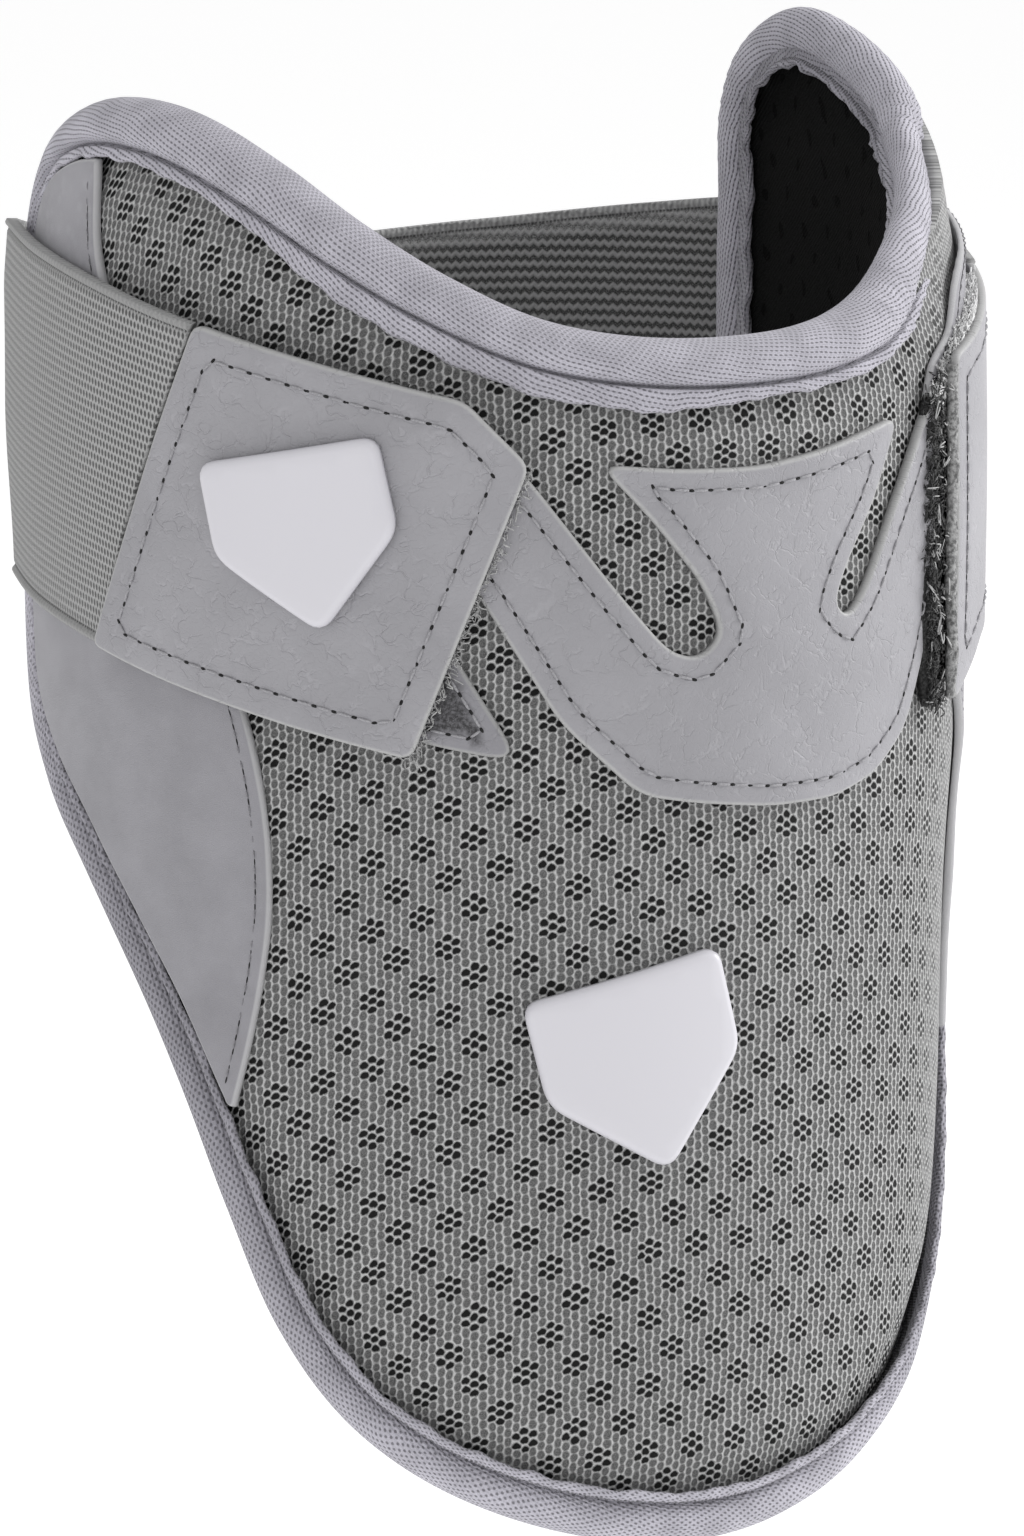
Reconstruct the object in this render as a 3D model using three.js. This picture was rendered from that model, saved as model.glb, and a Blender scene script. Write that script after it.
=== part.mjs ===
// Baseball elbow guard in the form it has when worn: a padded shell curved round the arm, bound at its
// edge, with grip panels, a notched front overlay and one elastic strap that fastens with two end tabs.
// Millimetres and degrees, +Z up along the arm. The front of the guard faces -Y, and the origin is on
// the arm's axis at the middle of the strap, where the guard grips the arm.
import * as THREE from 'three';
import { mergeVertices } from 'three/addons/utils/BufferGeometryUtils.js';

// Driving dimensions of the padded shell.
const guardRadius = 62; // arm's axis to the mesh face
const guardHeight = 188; // lowest to highest point of the edge line
const strapLevel = 138.8; // lowest point of the edge line up to the strap's middle
const coverThickness = 5.4; // mesh and foam
const liningThickness = 1.2;
const layerGap = 0.3; // clearance between neighbouring pieces
const sewnGap = 0.45; // clearance under a piece sewn flat to the mesh
const edgeThickness = 2; // cover where it is pinched inside the binding
const edgeLiningThickness = 0.8;
const pinchWidth = 9.6; // stretch beside the edge over which the pad thins

// Driving dimensions of the edge binding.
const rollReach = 3.6; // from the edge line out to the roll's crest
const rollDepth = 4.6; // from the edge line in to the crease beside the roll
const rollProud = 1.6; // roll above the mesh face, and above the lining inside
const outerHemWidth = 3.8;
const innerHemWidth = 2.2;
const hemThickness = 0.7;

// Driving dimensions of what is sewn to the mesh.
const panelThickness = 0.8;
const panelMargin = 0.6; // panel's rear edge to the binding's hem
const panelTip = 1.2; // width left at the panel's ends
const overlayCorner = 2.4;
const patchCorner = 3.6;
const badgeThickness = 2;
const badgeRim = 1.1; // width and height of the badge's sloping rim
const frontBadgeWidth = 27;
const tabBadgeWidth = 24;

// Driving dimensions of the strap.
const strapWidth = 48;
const strapThickness = 1.2;
const strapBackRadius = 60; // arm's axis to the strap's inner face behind the arm
const hookThickness = 0.9;
const hookMargin = 1.2;
const tabThickness = 1.2;
const tabCorner = 1.2;

const plateReach = 9; // longest facet edge round the arm

// Edge line of the shell from the front's top middle round each side to the tip: turn in degrees from
// the front, and height as a share of guardHeight on the wearer's two sides.
const edgeLine = [
  { turn: 0, right: 0.819, left: 0.819 },
  { turn: 15, right: 0.822, left: 0.824 },
  { turn: 27, right: 0.835, left: 0.838 },
  { turn: 39, right: 0.861, left: 0.866 },
  { turn: 51, right: 0.888, left: 0.898 },
  { turn: 63, right: 0.921, left: 0.93 },
  { turn: 75, right: 0.956, left: 0.958 },
  { turn: 86, right: 0.986, left: 0.973 },
  { turn: 97, right: 1, left: 0.971 },
  { turn: 106.5, right: 0.975, left: 0.95 },
  { turn: 111.5, right: 0.932, left: 0.911 },
  { turn: 113, right: 0.86, left: 0.845 },
  { turn: 113.5, right: 0.755, left: 0.75 },
  { turn: 114, right: 0.645, left: 0.645 },
  { turn: 111, right: 0.56, left: 0.56 },
  { turn: 102, right: 0.505, left: 0.505 },
  { turn: 90.7, right: 0.453, left: 0.451 },
  { turn: 80.2, right: 0.386, left: 0.383 },
  { turn: 71.8, right: 0.316, left: 0.311 },
  { turn: 65, right: 0.247, left: 0.232 },
  { turn: 58, right: 0.191, left: 0.151 },
  { turn: 50, right: 0.147, left: 0.094 },
  { turn: 41, right: 0.106, left: 0.054 },
  { turn: 29, right: 0.055, left: 0.022 },
  { turn: 15, right: 0.017, left: 0.004 },
  { turn: 0, right: 0, left: 0 },
];
const earRow = 10; // row of edgeLine where the top edge ends and the rear edge starts
const flankRow = 15; // row where the rear edge ends and the tongue's edge starts
const stepsPerRow = 2;

// Radius of the mesh face as a share of guardRadius, by height as a share of guardHeight.
const girthByRise = [
  { rise: -0.05, girth: 0.93 },
  { rise: 0, girth: 0.95 },
  { rise: 0.075, girth: 0.972 },
  { rise: 0.18, girth: 0.986 },
  { rise: 0.31, girth: 0.994 },
  { rise: 0.47, girth: 1 },
  { rise: 0.86, girth: 0.997 },
  { rise: 0.94, girth: 0.972 },
  { rise: 1.05, girth: 0.93 },
];

// Size of the binding's roll and of its outer hem as shares of their full sizes, by height as a share of
// guardHeight.
const rollByRise = [
  { rise: -0.05, size: 0.82, hem: 0.45 },
  { rise: 0.4, size: 0.82, hem: 0.45 },
  { rise: 0.78, size: 1, hem: 1 },
  { rise: 1.05, size: 1, hem: 1 },
];

// Front edge of a side panel, from its lower tip to the ear: turn in degrees from the front, and height
// as a share of guardHeight.
const panelFront = [
  { turn: 63.3, rise: 0.296 },
  { turn: 60.5, rise: 0.36 },
  { turn: 59, rise: 0.43 },
  { turn: 59.6, rise: 0.495 },
  { turn: 62, rise: 0.56 },
  { turn: 67, rise: 0.64 },
  { turn: 75, rise: 0.74 },
  { turn: 84, rise: 0.84 },
  { turn: 88.5, rise: 0.895 },
];
const panelLowRow = 19; // rows of edgeLine between which the panel meets the binding
const panelHighRow = 7.5;

// Outline of the notched front overlay. Both arms end under the tabs.
const overlayOutline = [
  { turn: -40.5, rise: 0.716 },
  { turn: -33.6, rise: 0.667 },
  { turn: -24, rise: 0.578 },
  { turn: -14.4, rise: 0.526 },
  { turn: -6.8, rise: 0.518 },
  { turn: 3, rise: 0.511 },
  { turn: 13, rise: 0.511 },
  { turn: 20.5, rise: 0.522 },
  { turn: 26.8, rise: 0.549 },
  { turn: 32, rise: 0.603 },
  { turn: 38.5, rise: 0.69 },
  { turn: 44, rise: 0.75 },
  { turn: 38.5, rise: 0.795 },
  { turn: 31.2, rise: 0.764 },
  { turn: 24, rise: 0.708 },
  { turn: 18.3, rise: 0.654 },
  { turn: 15.2, rise: 0.636 },
  { turn: 12.7, rise: 0.648 },
  { turn: 15, rise: 0.676 },
  { turn: 20, rise: 0.718 },
  { turn: 25, rise: 0.772 },
  { turn: 11, rise: 0.757 },
  { turn: 1, rise: 0.75 },
  { turn: -9.5, rise: 0.752 },
  { turn: -19.5, rise: 0.758 },
  { turn: -13, rise: 0.718 },
  { turn: -6.6, rise: 0.672 },
  { turn: -3.8, rise: 0.636 },
  { turn: -7, rise: 0.619 },
  { turn: -11, rise: 0.626 },
  { turn: -17, rise: 0.667 },
  { turn: -27.7, rise: 0.748 },
  { turn: -34, rise: 0.786 },
];

// Outline of the grip patch that shows past the left tab's lower corner.
const patchOutline = [
  { turn: -28.6, rise: 0.552 },
  { turn: -43.5, rise: 0.69 },
  { turn: -57, rise: 0.69 },
  { turn: -60, rise: 0.6 },
  { turn: -40, rise: 0.564 },
];

// Strap's middle line from the right side round the back to the left: height above the origin as a
// share of strapWidth.
const strapRun = [
  { turn: 20, lift: -0.31 },
  { turn: 35, lift: -0.242 },
  { turn: 54, lift: -0.133 },
  { turn: 69, lift: -0.062 },
  { turn: 85, lift: 0.012 },
  { turn: 100, lift: 0.03 },
  { turn: 115, lift: 0.005 },
  { turn: 130, lift: -0.035 },
  { turn: 150, lift: -0.085 },
  { turn: 180, lift: -0.12 },
  { turn: 205, lift: -0.06 },
  { turn: 225, lift: 0.03 },
  { turn: 245, lift: 0.1 },
  { turn: 260, lift: 0.068 },
  { turn: 275, lift: 0.012 },
  { turn: 291, lift: -0.062 },
  { turn: 306, lift: -0.133 },
  { turn: 325, lift: -0.242 },
  { turn: 340, lift: -0.31 },
];
const strapSteps = 34;
const strapBend = { from: 121, to: 180 }; // where the strap leaves the guard's side for the arm's back
// Where the elastic ends and a tab starts, on each side of the front.
const tabJoint = { topTurn: 68.6, bottomTurn: 85.4 };

// Corners of the two tabs past the joint: turn in degrees, and place across the strap as a share of
// strapWidth from its middle line.
const leftTabCorners = [
  { turn: -41.4, across: -0.51 },
  { turn: -27.9, across: 0.36 },
  { turn: -35.2, across: 0.5 },
];
const rightTabCorners = [
  { turn: 33, across: 0.5 },
  { turn: 35, across: -0.465 },
  { turn: 48, across: -0.4 },
  { turn: 62, across: -0.43 },
];

// Plain five-sided badge with two square corners and a point: shares of its width.
const badgeOutline = [
  { across: 0.5, up: 0.5 },
  { across: -0.5, up: 0.5 },
  { across: -0.5, up: -0.02 },
  { across: 0, up: -0.5 },
  { across: 0.5, up: -0.02 },
];
const badgeCorner = 0.09;
const frontBadge = { turn: -13.6, rise: 0.33, tilt: 14 };
const tabBadge = { turn: -53.5, across: 0.006, tilt: 12 };

// Heights above the mesh face at which each layer lies.
const panelOut = sewnGap + panelThickness;
const hookIn = panelOut + layerGap;
const hookOut = hookIn + hookThickness;
const tabIn = hookOut + layerGap;
const tabOut = tabIn + tabThickness;
const strapIn = Math.max(tabIn, rollProud + layerGap);

const toRadians = THREE.MathUtils.degToRad;
const arcPerDegree = toRadians(guardRadius);

// Value of a column of a table at x, on a smooth curve through its rows.
function smoothValue(rows, xName, yName, x) {
  const last = rows.length - 2;
  let i = rows.findIndex((row) => row[xName] > x) - 1;
  if (i === -2) i = last;
  i = THREE.MathUtils.clamp(i, 0, last);
  const slopeAt = (k) => {
    const a = rows[Math.max(k - 1, 0)];
    const b = rows[Math.min(k + 1, rows.length - 1)];
    return (b[yName] - a[yName]) / (b[xName] - a[xName]);
  };
  const span = rows[i + 1][xName] - rows[i][xName];
  const t = THREE.MathUtils.clamp((x - rows[i][xName]) / span, 0, 1);
  const t2 = t * t;
  const t3 = t2 * t;
  return (
    (2 * t3 - 3 * t2 + 1) * rows[i][yName] +
    (t3 - 2 * t2 + t) * span * slopeAt(i) +
    (3 * t2 - 2 * t3) * rows[i + 1][yName] +
    (t3 - t2) * span * slopeAt(i + 1)
  );
}

// The chart is the mesh face unrolled: x is the arc from the front at guardRadius, y the height above
// the origin. A chart point is a Vector2.
const heightOf = (rise) => rise * guardHeight - strapLevel;
const riseOf = (height) => (height + strapLevel) / guardHeight;
const chartPoint = (row) => new THREE.Vector2(row.turn * arcPerDegree, heightOf(row.rise));
const liftAt = (turn) =>
  strapWidth * smoothValue(strapRun, 'turn', 'lift', turn < 0 ? turn + 360 : turn);
const strapPoint = (row) =>
  new THREE.Vector2(row.turn * arcPerDegree, liftAt(row.turn) + row.across * strapWidth);

// Point in space for a chart point, out millimetres outside the mesh face.
function onGuard(point, out) {
  const radius = guardRadius * smoothValue(girthByRise, 'rise', 'girth', riseOf(point.y)) + out;
  const angle = toRadians(point.x / arcPerDegree);
  return new THREE.Vector3(radius * Math.sin(angle), -radius * Math.cos(angle), point.y);
}

// The same for the strap, which runs outside the binding and comes in behind the arm.
function onStrap(point, out) {
  const turn = point.x / arcPerDegree;
  const fromFront = Math.min(turn, 360 - turn);
  const bend = THREE.MathUtils.smoothstep(fromFront, strapBend.from, strapBend.to);
  const radius = THREE.MathUtils.lerp(guardRadius + strapIn, strapBackRadius, bend) + out;
  const angle = toRadians(turn);
  return new THREE.Vector3(radius * Math.sin(angle), -radius * Math.cos(angle), point.y);
}

// Edge line as chart points in order round the shell, stepsPerRow to each row, from the front's top
// middle round the right side.
function edgeStations() {
  const rightSide = edgeLine.map((row) => chartPoint({ turn: row.turn, rise: row.right }));
  const leftSide = edgeLine.slice(1, -1).map((row) => chartPoint({ turn: -row.turn, rise: row.left }));
  const knots = [...rightSide, ...leftSide.reverse()].map((p) => new THREE.Vector3(p.x, p.y, 0));
  const curve = new THREE.CatmullRomCurve3(knots, true, 'centripetal');
  const count = knots.length * stepsPerRow;
  return Array.from({ length: count }, (_, i) => {
    const p = curve.getPoint(i / count);
    const along = curve.getTangent(i / count);
    const outward = new THREE.Vector2(-along.y, along.x).normalize();
    return { point: new THREE.Vector2(p.x, p.y), outward };
  });
}
const stations = edgeStations();
const stationAt = (i) => stations[(i + 2 * stations.length) % stations.length];
const movedOut = (station, distance) => station.point.clone().addScaledVector(station.outward, distance);

// Grid of chart points that fills a loop of four sides, each a list of points from left to right or
// from bottom to top.
function coonsGrid(bottom, top, left, right) {
  const columns = bottom.length - 1;
  const rows = left.length - 1;
  const grid = [];
  for (let j = 0; j <= rows; j++) {
    const v = j / rows;
    for (let i = 0; i <= columns; i++) {
      const u = i / columns;
      const blend = (k) =>
        (1 - v) * bottom[i][k] + v * top[i][k] + (1 - u) * left[j][k] + u * right[j][k] -
        (1 - u) * (1 - v) * bottom[0][k] - u * (1 - v) * bottom[columns][k] -
        (1 - u) * v * top[0][k] - u * v * top[columns][k];
      grid.push(new THREE.Vector2(blend('x'), blend('y')));
    }
  }
  return { points: grid, triangles: gridTriangles(columns, rows) };
}

function gridTriangles(columns, rows) {
  const triangles = [];
  for (let j = 0; j < rows; j++) {
    for (let i = 0; i < columns; i++) {
      const a = j * (columns + 1) + i;
      const b = a + columns + 1;
      triangles.push([a, a + 1, b + 1], [a, b + 1, b]);
    }
  }
  return triangles;
}

// Closed solid over a flat triangulation: place() puts each chart point in space at the outer and the
// inner offset, and walls follow the edges that belong to one triangle only.
function plateSolid({ points, triangles }, outerAt, innerAt, place = onGuard) {
  const count = points.length;
  const vertices = [
    ...points.map((p, i) => place(p, outerAt(p, i))),
    ...points.map((p, i) => place(p, innerAt(p, i))),
  ];
  const faces = triangles.flatMap(([a, b, c]) => [[a, b, c], [a + count, c + count, b + count]]);
  const edges = new Set(triangles.flatMap(([a, b, c]) => [`${a},${b}`, `${b},${c}`, `${c},${a}`]));
  for (const edge of edges) {
    const [a, b] = edge.split(',').map(Number);
    if (!edges.has(`${b},${a}`)) faces.push([b, a, a + count], [b, a + count, b + count]);
  }
  return closedGeometry(vertices, faces);
}

function closedGeometry(vertices, faces) {
  const geometry = new THREE.BufferGeometry();
  geometry.setAttribute(
    'position',
    new THREE.Float32BufferAttribute(vertices.flatMap((v) => [v.x, v.y, v.z]), 3),
  );
  geometry.setIndex(faces.flat());
  const merged = mergeVertices(geometry, 1e-4);
  merged.computeVertexNormals();
  return merged;
}

// Outline with each corner cut back by up to radius and rounded.
function roundedOutline(corners, radius) {
  const arcSteps = 2;
  return corners.flatMap((corner, i) => {
    const before = corners[(i + corners.length - 1) % corners.length];
    const after = corners[(i + 1) % corners.length];
    const cut = (other) => {
      const length = corner.distanceTo(other);
      return corner.clone().lerp(other, Math.min(radius / length, 0.45));
    };
    const curve = new THREE.QuadraticBezierCurve(cut(before), corner, cut(after));
    return curve.getPoints(arcSteps);
  });
}

// Outline moved inwards by margin, for outlines without narrow necks.
function insetOutline(outline, margin) {
  const counterClockwise = THREE.ShapeUtils.isClockWise(outline) ? [...outline].reverse() : outline;
  return counterClockwise.map((p, i) => {
    const before = counterClockwise[(i + outline.length - 1) % outline.length];
    const after = counterClockwise[(i + 1) % outline.length];
    const inFrom = (a, b) => new THREE.Vector2(a.y - b.y, b.x - a.x).normalize();
    const bisector = inFrom(before, p).add(inFrom(p, after));
    return p.clone().addScaledVector(bisector, (2 * margin) / bisector.lengthSq());
  });
}

// Triangulation of an outline with edges split until none reaches further round the arm than
// plateReach, so that the plate can bend. Heights count for less, because the guard is nearly
// straight along the arm.
function bendableMesh(outline) {
  const points = THREE.ShapeUtils.isClockWise(outline) ? [...outline].reverse() : [...outline];
  return refined(points, THREE.ShapeUtils.triangulateShape(points, []));
}

function refined(startPoints, startTriangles) {
  const straightness = 6;
  const points = [...startPoints];
  let triangles = startTriangles.map((t) => [...t]);
  const reach = (a, b) =>
    Math.hypot(points[a].x - points[b].x, (points[a].y - points[b].y) / straightness);
  for (;;) {
    let longest = { size: plateReach };
    for (const [a, b, c] of triangles) {
      for (const [p, q] of [[a, b], [b, c], [c, a]]) {
        const size = reach(p, q);
        if (size > longest.size + 1e-6) longest = { size, p, q };
      }
    }
    if (longest.p === undefined) return { points, triangles };
    const { p, q } = longest;
    const middle = points.push(points[p].clone().lerp(points[q], 0.5)) - 1;
    triangles = triangles.flatMap((t) => {
      if (!t.includes(p) || !t.includes(q)) return [t];
      return [t.map((k) => (k === p ? middle : k)), t.map((k) => (k === q ? middle : k))];
    });
  }
}

// The pad is a grid of full thickness inside a band that thins to its pinched edge.
function padMesh() {
  const side = (from, to) => {
    const step = Math.sign(to - from);
    const list = [];
    for (let i = from; i !== to + step; i += step) list.push(movedOut(stationAt(i), -pinchWidth));
    return list;
  };
  const ear = earRow * stepsPerRow;
  const flank = flankRow * stepsPerRow;
  const half = stations.length / 2;
  const bottom = side(2 * half - flank, flank);
  const rearRight = side(flank, ear);
  const grid = coonsGrid(bottom, side(-ear, ear), side(2 * half - flank, 2 * half - ear), rearRight);
  relax(grid.points, bottom.length, rearRight.length);
  const ringStart = grid.points.length;
  const points = [...grid.points, ...stations.map((station) => movedOut(station, -layerGap))];
  const gridIndex = stations.map((station) => {
    const p = movedOut(station, -pinchWidth);
    return grid.points.findIndex((q) => q.distanceTo(p) < 1e-6);
  });
  const band = stations.flatMap((_, i) => {
    const j = (i + 1) % stations.length;
    const [a, b] = [ringStart + i, ringStart + j];
    return [[a, gridIndex[i], gridIndex[j]], [a, gridIndex[j], b]];
  });
  const fullness = points.map((_, i) => (i < ringStart ? 1 : 0));
  return { points, triangles: [...grid.triangles, ...band], fullness };
}

// Evens out a grid by moving each inner point to the middle of its neighbours.
function relax(points, columns, rows) {
  const rounds = 80;
  for (let round = 0; round < rounds; round++) {
    for (let j = 1; j < rows - 1; j++) {
      for (let i = 1; i < columns - 1; i++) {
        const k = j * columns + i;
        const around = [points[k - 1], points[k + 1], points[k - columns], points[k + columns]];
        points[k].set(0, 0);
        around.forEach((p) => points[k].addScaledVector(p, 1 / around.length));
      }
    }
  }
}

const padThickness = coverThickness + layerGap + liningThickness;
// Offsets of the pinched edge, centred in the pad's thickness.
const edgeOuter = (-padThickness + edgeThickness + layerGap + edgeLiningThickness) / 2;
const edgeInner = edgeOuter - edgeThickness;

function coverGeometry(mesh) {
  const { lerp } = THREE.MathUtils;
  return plateSolid(
    mesh,
    (_, i) => lerp(edgeOuter, 0, mesh.fullness[i]),
    (_, i) => lerp(edgeInner, -coverThickness, mesh.fullness[i]),
  );
}

function liningGeometry(mesh) {
  const { lerp } = THREE.MathUtils;
  const outer = edgeInner - layerGap;
  return plateSolid(
    mesh,
    (_, i) => lerp(outer, -coverThickness - layerGap, mesh.fullness[i]),
    (_, i) => lerp(outer - edgeLiningThickness, -padThickness, mesh.fullness[i]),
  );
}

// Section of the binding at a height: a padded roll with a slot for the pad's edge and a hem on each
// face. Each point is its distance outwards along the mesh face and its offset from that face.
function bindingSection(rise) {
  const size = smoothValue(rollByRise, 'rise', 'size', rise);
  const hem = outerHemWidth * smoothValue(rollByRise, 'rise', 'hem', rise);
  const middle = -padThickness / 2;
  const halfHeight = padThickness / 2 + rollProud * size;
  const halfWidth = ((rollReach + rollDepth) / 2) * size;
  const centre = ((rollReach - rollDepth) / 2) * size;
  const arcSteps = 6;
  const creaseAngle = toRadians(145);
  const roll = Array.from({ length: arcSteps + 1 }, (_, k) => {
    const angle = creaseAngle * (1 - (2 * k) / arcSteps);
    return [centre + halfWidth * Math.cos(angle), middle + halfHeight * Math.sin(angle)];
  });
  const creaseReach = -roll[0][0];
  const outerTip = creaseReach + hem;
  const innerTip = creaseReach + innerHemWidth * size;
  const outerSeat = layerGap;
  const innerSeat = -padThickness - layerGap;
  roll[0][1] = outerSeat + hemThickness;
  roll[arcSteps][1] = innerSeat - hemThickness;
  return [
    ...roll,
    [-innerTip, innerSeat - hemThickness],
    [-innerTip, innerSeat],
    [0, edgeInner - 2 * layerGap - edgeLiningThickness],
    [0, edgeOuter + layerGap],
    [-outerTip, outerSeat],
    [-outerTip, outerSeat + hemThickness],
  ];
}

// Distance from the edge line in to the tip of the binding's outer hem.
const hemReach = (rise) => -bindingSection(rise).at(-1)[0];

function bindingGeometry() {
  const rings = stations.map((station) =>
    bindingSection(riseOf(station.point.y)).map(([distance, out]) =>
      onGuard(movedOut(station, distance), out),
    ),
  );
  const perRing = rings[0].length;
  const faces = [];
  rings.forEach((_, i) => {
    const next = (i + 1) % rings.length;
    for (let k = 0; k < perRing; k++) {
      const l = (k + 1) % perRing;
      const [a, b, c, d] = [
        i * perRing + k, i * perRing + l, next * perRing + l, next * perRing + k,
      ];
      faces.push([a, c, b], [a, d, c]);
    }
  });
  return closedGeometry(rings.flat(), faces);
}

// Side panel between its front edge and the binding's hem. side is 1 on the right and -1 on the left.
function panelGeometry(side) {
  const steps = (panelLowRow - panelHighRow) * stepsPerRow;
  const across = 5;
  const rear = Array.from({ length: steps + 1 }, (_, j) => {
    const station = stationAt(side * (panelLowRow * stepsPerRow - j));
    return movedOut(station, -hemReach(riseOf(station.point.y)) - panelMargin);
  });
  const beside = (p) => new THREE.Vector2(p.x - side * panelTip, p.y);
  const middle = panelFront.map((row) => chartPoint({ turn: side * row.turn, rise: row.rise }));
  const knots = [beside(rear[0]), ...middle, beside(rear[steps])];
  const front = new THREE.CatmullRomCurve3(knots.map((p) => new THREE.Vector3(p.x, p.y, 0)));
  const points = [];
  for (let j = 0; j <= steps; j++) {
    const edge = front.getPoint(j / steps);
    for (let i = 0; i <= across; i++) {
      const t = side > 0 ? i / across : 1 - i / across;
      points.push(new THREE.Vector2(edge.x, edge.y).lerp(rear[j], t));
    }
  }
  const mesh = { points, triangles: gridTriangles(across, steps) };
  return plateSolid(mesh, () => panelOut, () => sewnGap);
}

function overlayGeometry() {
  const outline = roundedOutline(overlayOutline.map(chartPoint), overlayCorner);
  return plateSolid(bendableMesh(outline), () => panelOut, () => sewnGap);
}

function patchGeometry() {
  const outline = roundedOutline(patchOutline.map(chartPoint), patchCorner);
  return plateSolid(bendableMesh(outline), () => panelOut, () => sewnGap);
}

// Elastic from the right joint round the back of the arm to the left joint.
function elasticGeometry() {
  const rows = 2;
  const points = [];
  for (let j = 0; j <= rows; j++) {
    const v = j / rows;
    const jointTurn = THREE.MathUtils.lerp(tabJoint.bottomTurn, tabJoint.topTurn, v);
    for (let i = 0; i <= strapSteps; i++) {
      const turn = THREE.MathUtils.lerp(jointTurn, 360 - jointTurn, i / strapSteps);
      points.push(strapPoint({ turn, across: v - 0.5 }));
    }
  }
  const mesh = { points, triangles: gridTriangles(strapSteps, rows) };
  return plateSolid(mesh, () => strapThickness, () => 0, onStrap);
}

// Corner points of a tab: the joint with the elastic, then the tab's own corners.
function tabCornerPoints(corners, side) {
  const gapTurn = layerGap / arcPerDegree;
  const joint = [
    { turn: side * (tabJoint.topTurn - gapTurn), across: 0.5 },
    { turn: side * (tabJoint.bottomTurn - gapTurn), across: -0.5 },
  ];
  return [...(side < 0 ? joint : [...joint].reverse()), ...corners].map(strapPoint);
}

function tabGeometry(corners) {
  const outline = roundedOutline(corners, tabCorner);
  return plateSolid(bendableMesh(outline), () => tabOut, () => tabIn);
}

function hookGeometry(corners) {
  const outline = roundedOutline(insetOutline(corners, hookMargin), tabCorner);
  return plateSolid(bendableMesh(outline), () => hookOut, () => hookIn);
}

// Raised badge: a flat crown inside a sloping rim, seated seat millimetres above the mesh face.
function badgeGeometry(centre, width, tilt, seat) {
  const corners = badgeOutline.map(({ across, up }) =>
    new THREE.Vector2(across * width, up * width)
      .rotateAround(new THREE.Vector2(), toRadians(tilt))
      .add(centre),
  );
  const rim = insetOutline(roundedOutline(corners, badgeCorner * width), 0);
  const crown = insetOutline(rim, badgeRim);
  const count = rim.length;
  const ring = rim.flatMap((_, i) => {
    const next = (i + 1) % count;
    return [[i, next, next + count], [i, next + count, i + count]];
  });
  const middle = THREE.ShapeUtils.triangulateShape(crown, []).map((t) => t.map((k) => k + count));
  const mesh = refined([...rim, ...crown], [...ring, ...middle]);
  const isRim = (p) => distanceToOutline(p, rim) < badgeRim / 2;
  return plateSolid(
    mesh,
    (p) => seat + badgeThickness - (isRim(p) ? badgeRim : 0),
    () => seat,
  );
}

function distanceToOutline(point, outline) {
  return Math.min(
    ...outline.map((a, i) => {
      const b = outline[(i + 1) % outline.length];
      const along = b.clone().sub(a);
      const t = THREE.MathUtils.clamp(point.clone().sub(a).dot(along) / along.lengthSq(), 0, 1);
      return point.distanceTo(a.clone().addScaledVector(along, t));
    }),
  );
}

// Materials.
const material = (color, roughness) => new THREE.MeshStandardMaterial({ color, roughness, metalness: 0 });
const meshFabric = material(0x8d8d8e, 0.9);
const liningFabric = material(0x1c1c1d, 0.85);
const bindingFabric = material(0xa6a6ae, 0.85);
const gripFabric = material(0x9c9ca2, 0.8);
const overlayLeather = material(0x9b9b9f, 0.55);
const strapElastic = material(0x8f9091, 0.85);
const hookFabric = material(0x5a5a5b, 0.9);
const badgeRubber = material(0xe2e2e6, 0.35);

const guard = new THREE.Group();
function add(name, geometry, finish) {
  const mesh = new THREE.Mesh(geometry, finish);
  mesh.name = name;
  guard.add(mesh);
}

const pad = padMesh();
add('mesh_cover', coverGeometry(pad), meshFabric);
add('inner_lining', liningGeometry(pad), liningFabric);
add('edge_binding', bindingGeometry(), bindingFabric);
add('left_grip_panel', panelGeometry(-1), gripFabric);
add('right_grip_panel', panelGeometry(1), gripFabric);
add('front_overlay', overlayGeometry(), overlayLeather);
add('left_grip_patch', patchGeometry(), gripFabric);
add('elastic_strap', elasticGeometry(), strapElastic);

const leftTab = tabCornerPoints(leftTabCorners, -1);
const rightTab = tabCornerPoints(rightTabCorners, 1);
add('left_tab', tabGeometry(leftTab), overlayLeather);
add('right_tab', tabGeometry(rightTab), overlayLeather);
add('left_hook_pad', hookGeometry(leftTab), hookFabric);
add('right_hook_pad', hookGeometry(rightTab), hookFabric);
add(
  'front_badge',
  badgeGeometry(chartPoint(frontBadge), frontBadgeWidth, frontBadge.tilt, sewnGap),
  badgeRubber,
);
add(
  'tab_badge',
  badgeGeometry(strapPoint(tabBadge), tabBadgeWidth, tabBadge.tilt, tabOut + layerGap),
  badgeRubber,
);

export default guard;
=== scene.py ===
"""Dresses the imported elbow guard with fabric, leather-look and elastic surfaces, under soft studio light."""
from math import cos, exp, pi, radians, sin, sqrt

import bpy
import numpy as np
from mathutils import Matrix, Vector
from mathutils.geometry import delaunay_2d_cdt


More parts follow.
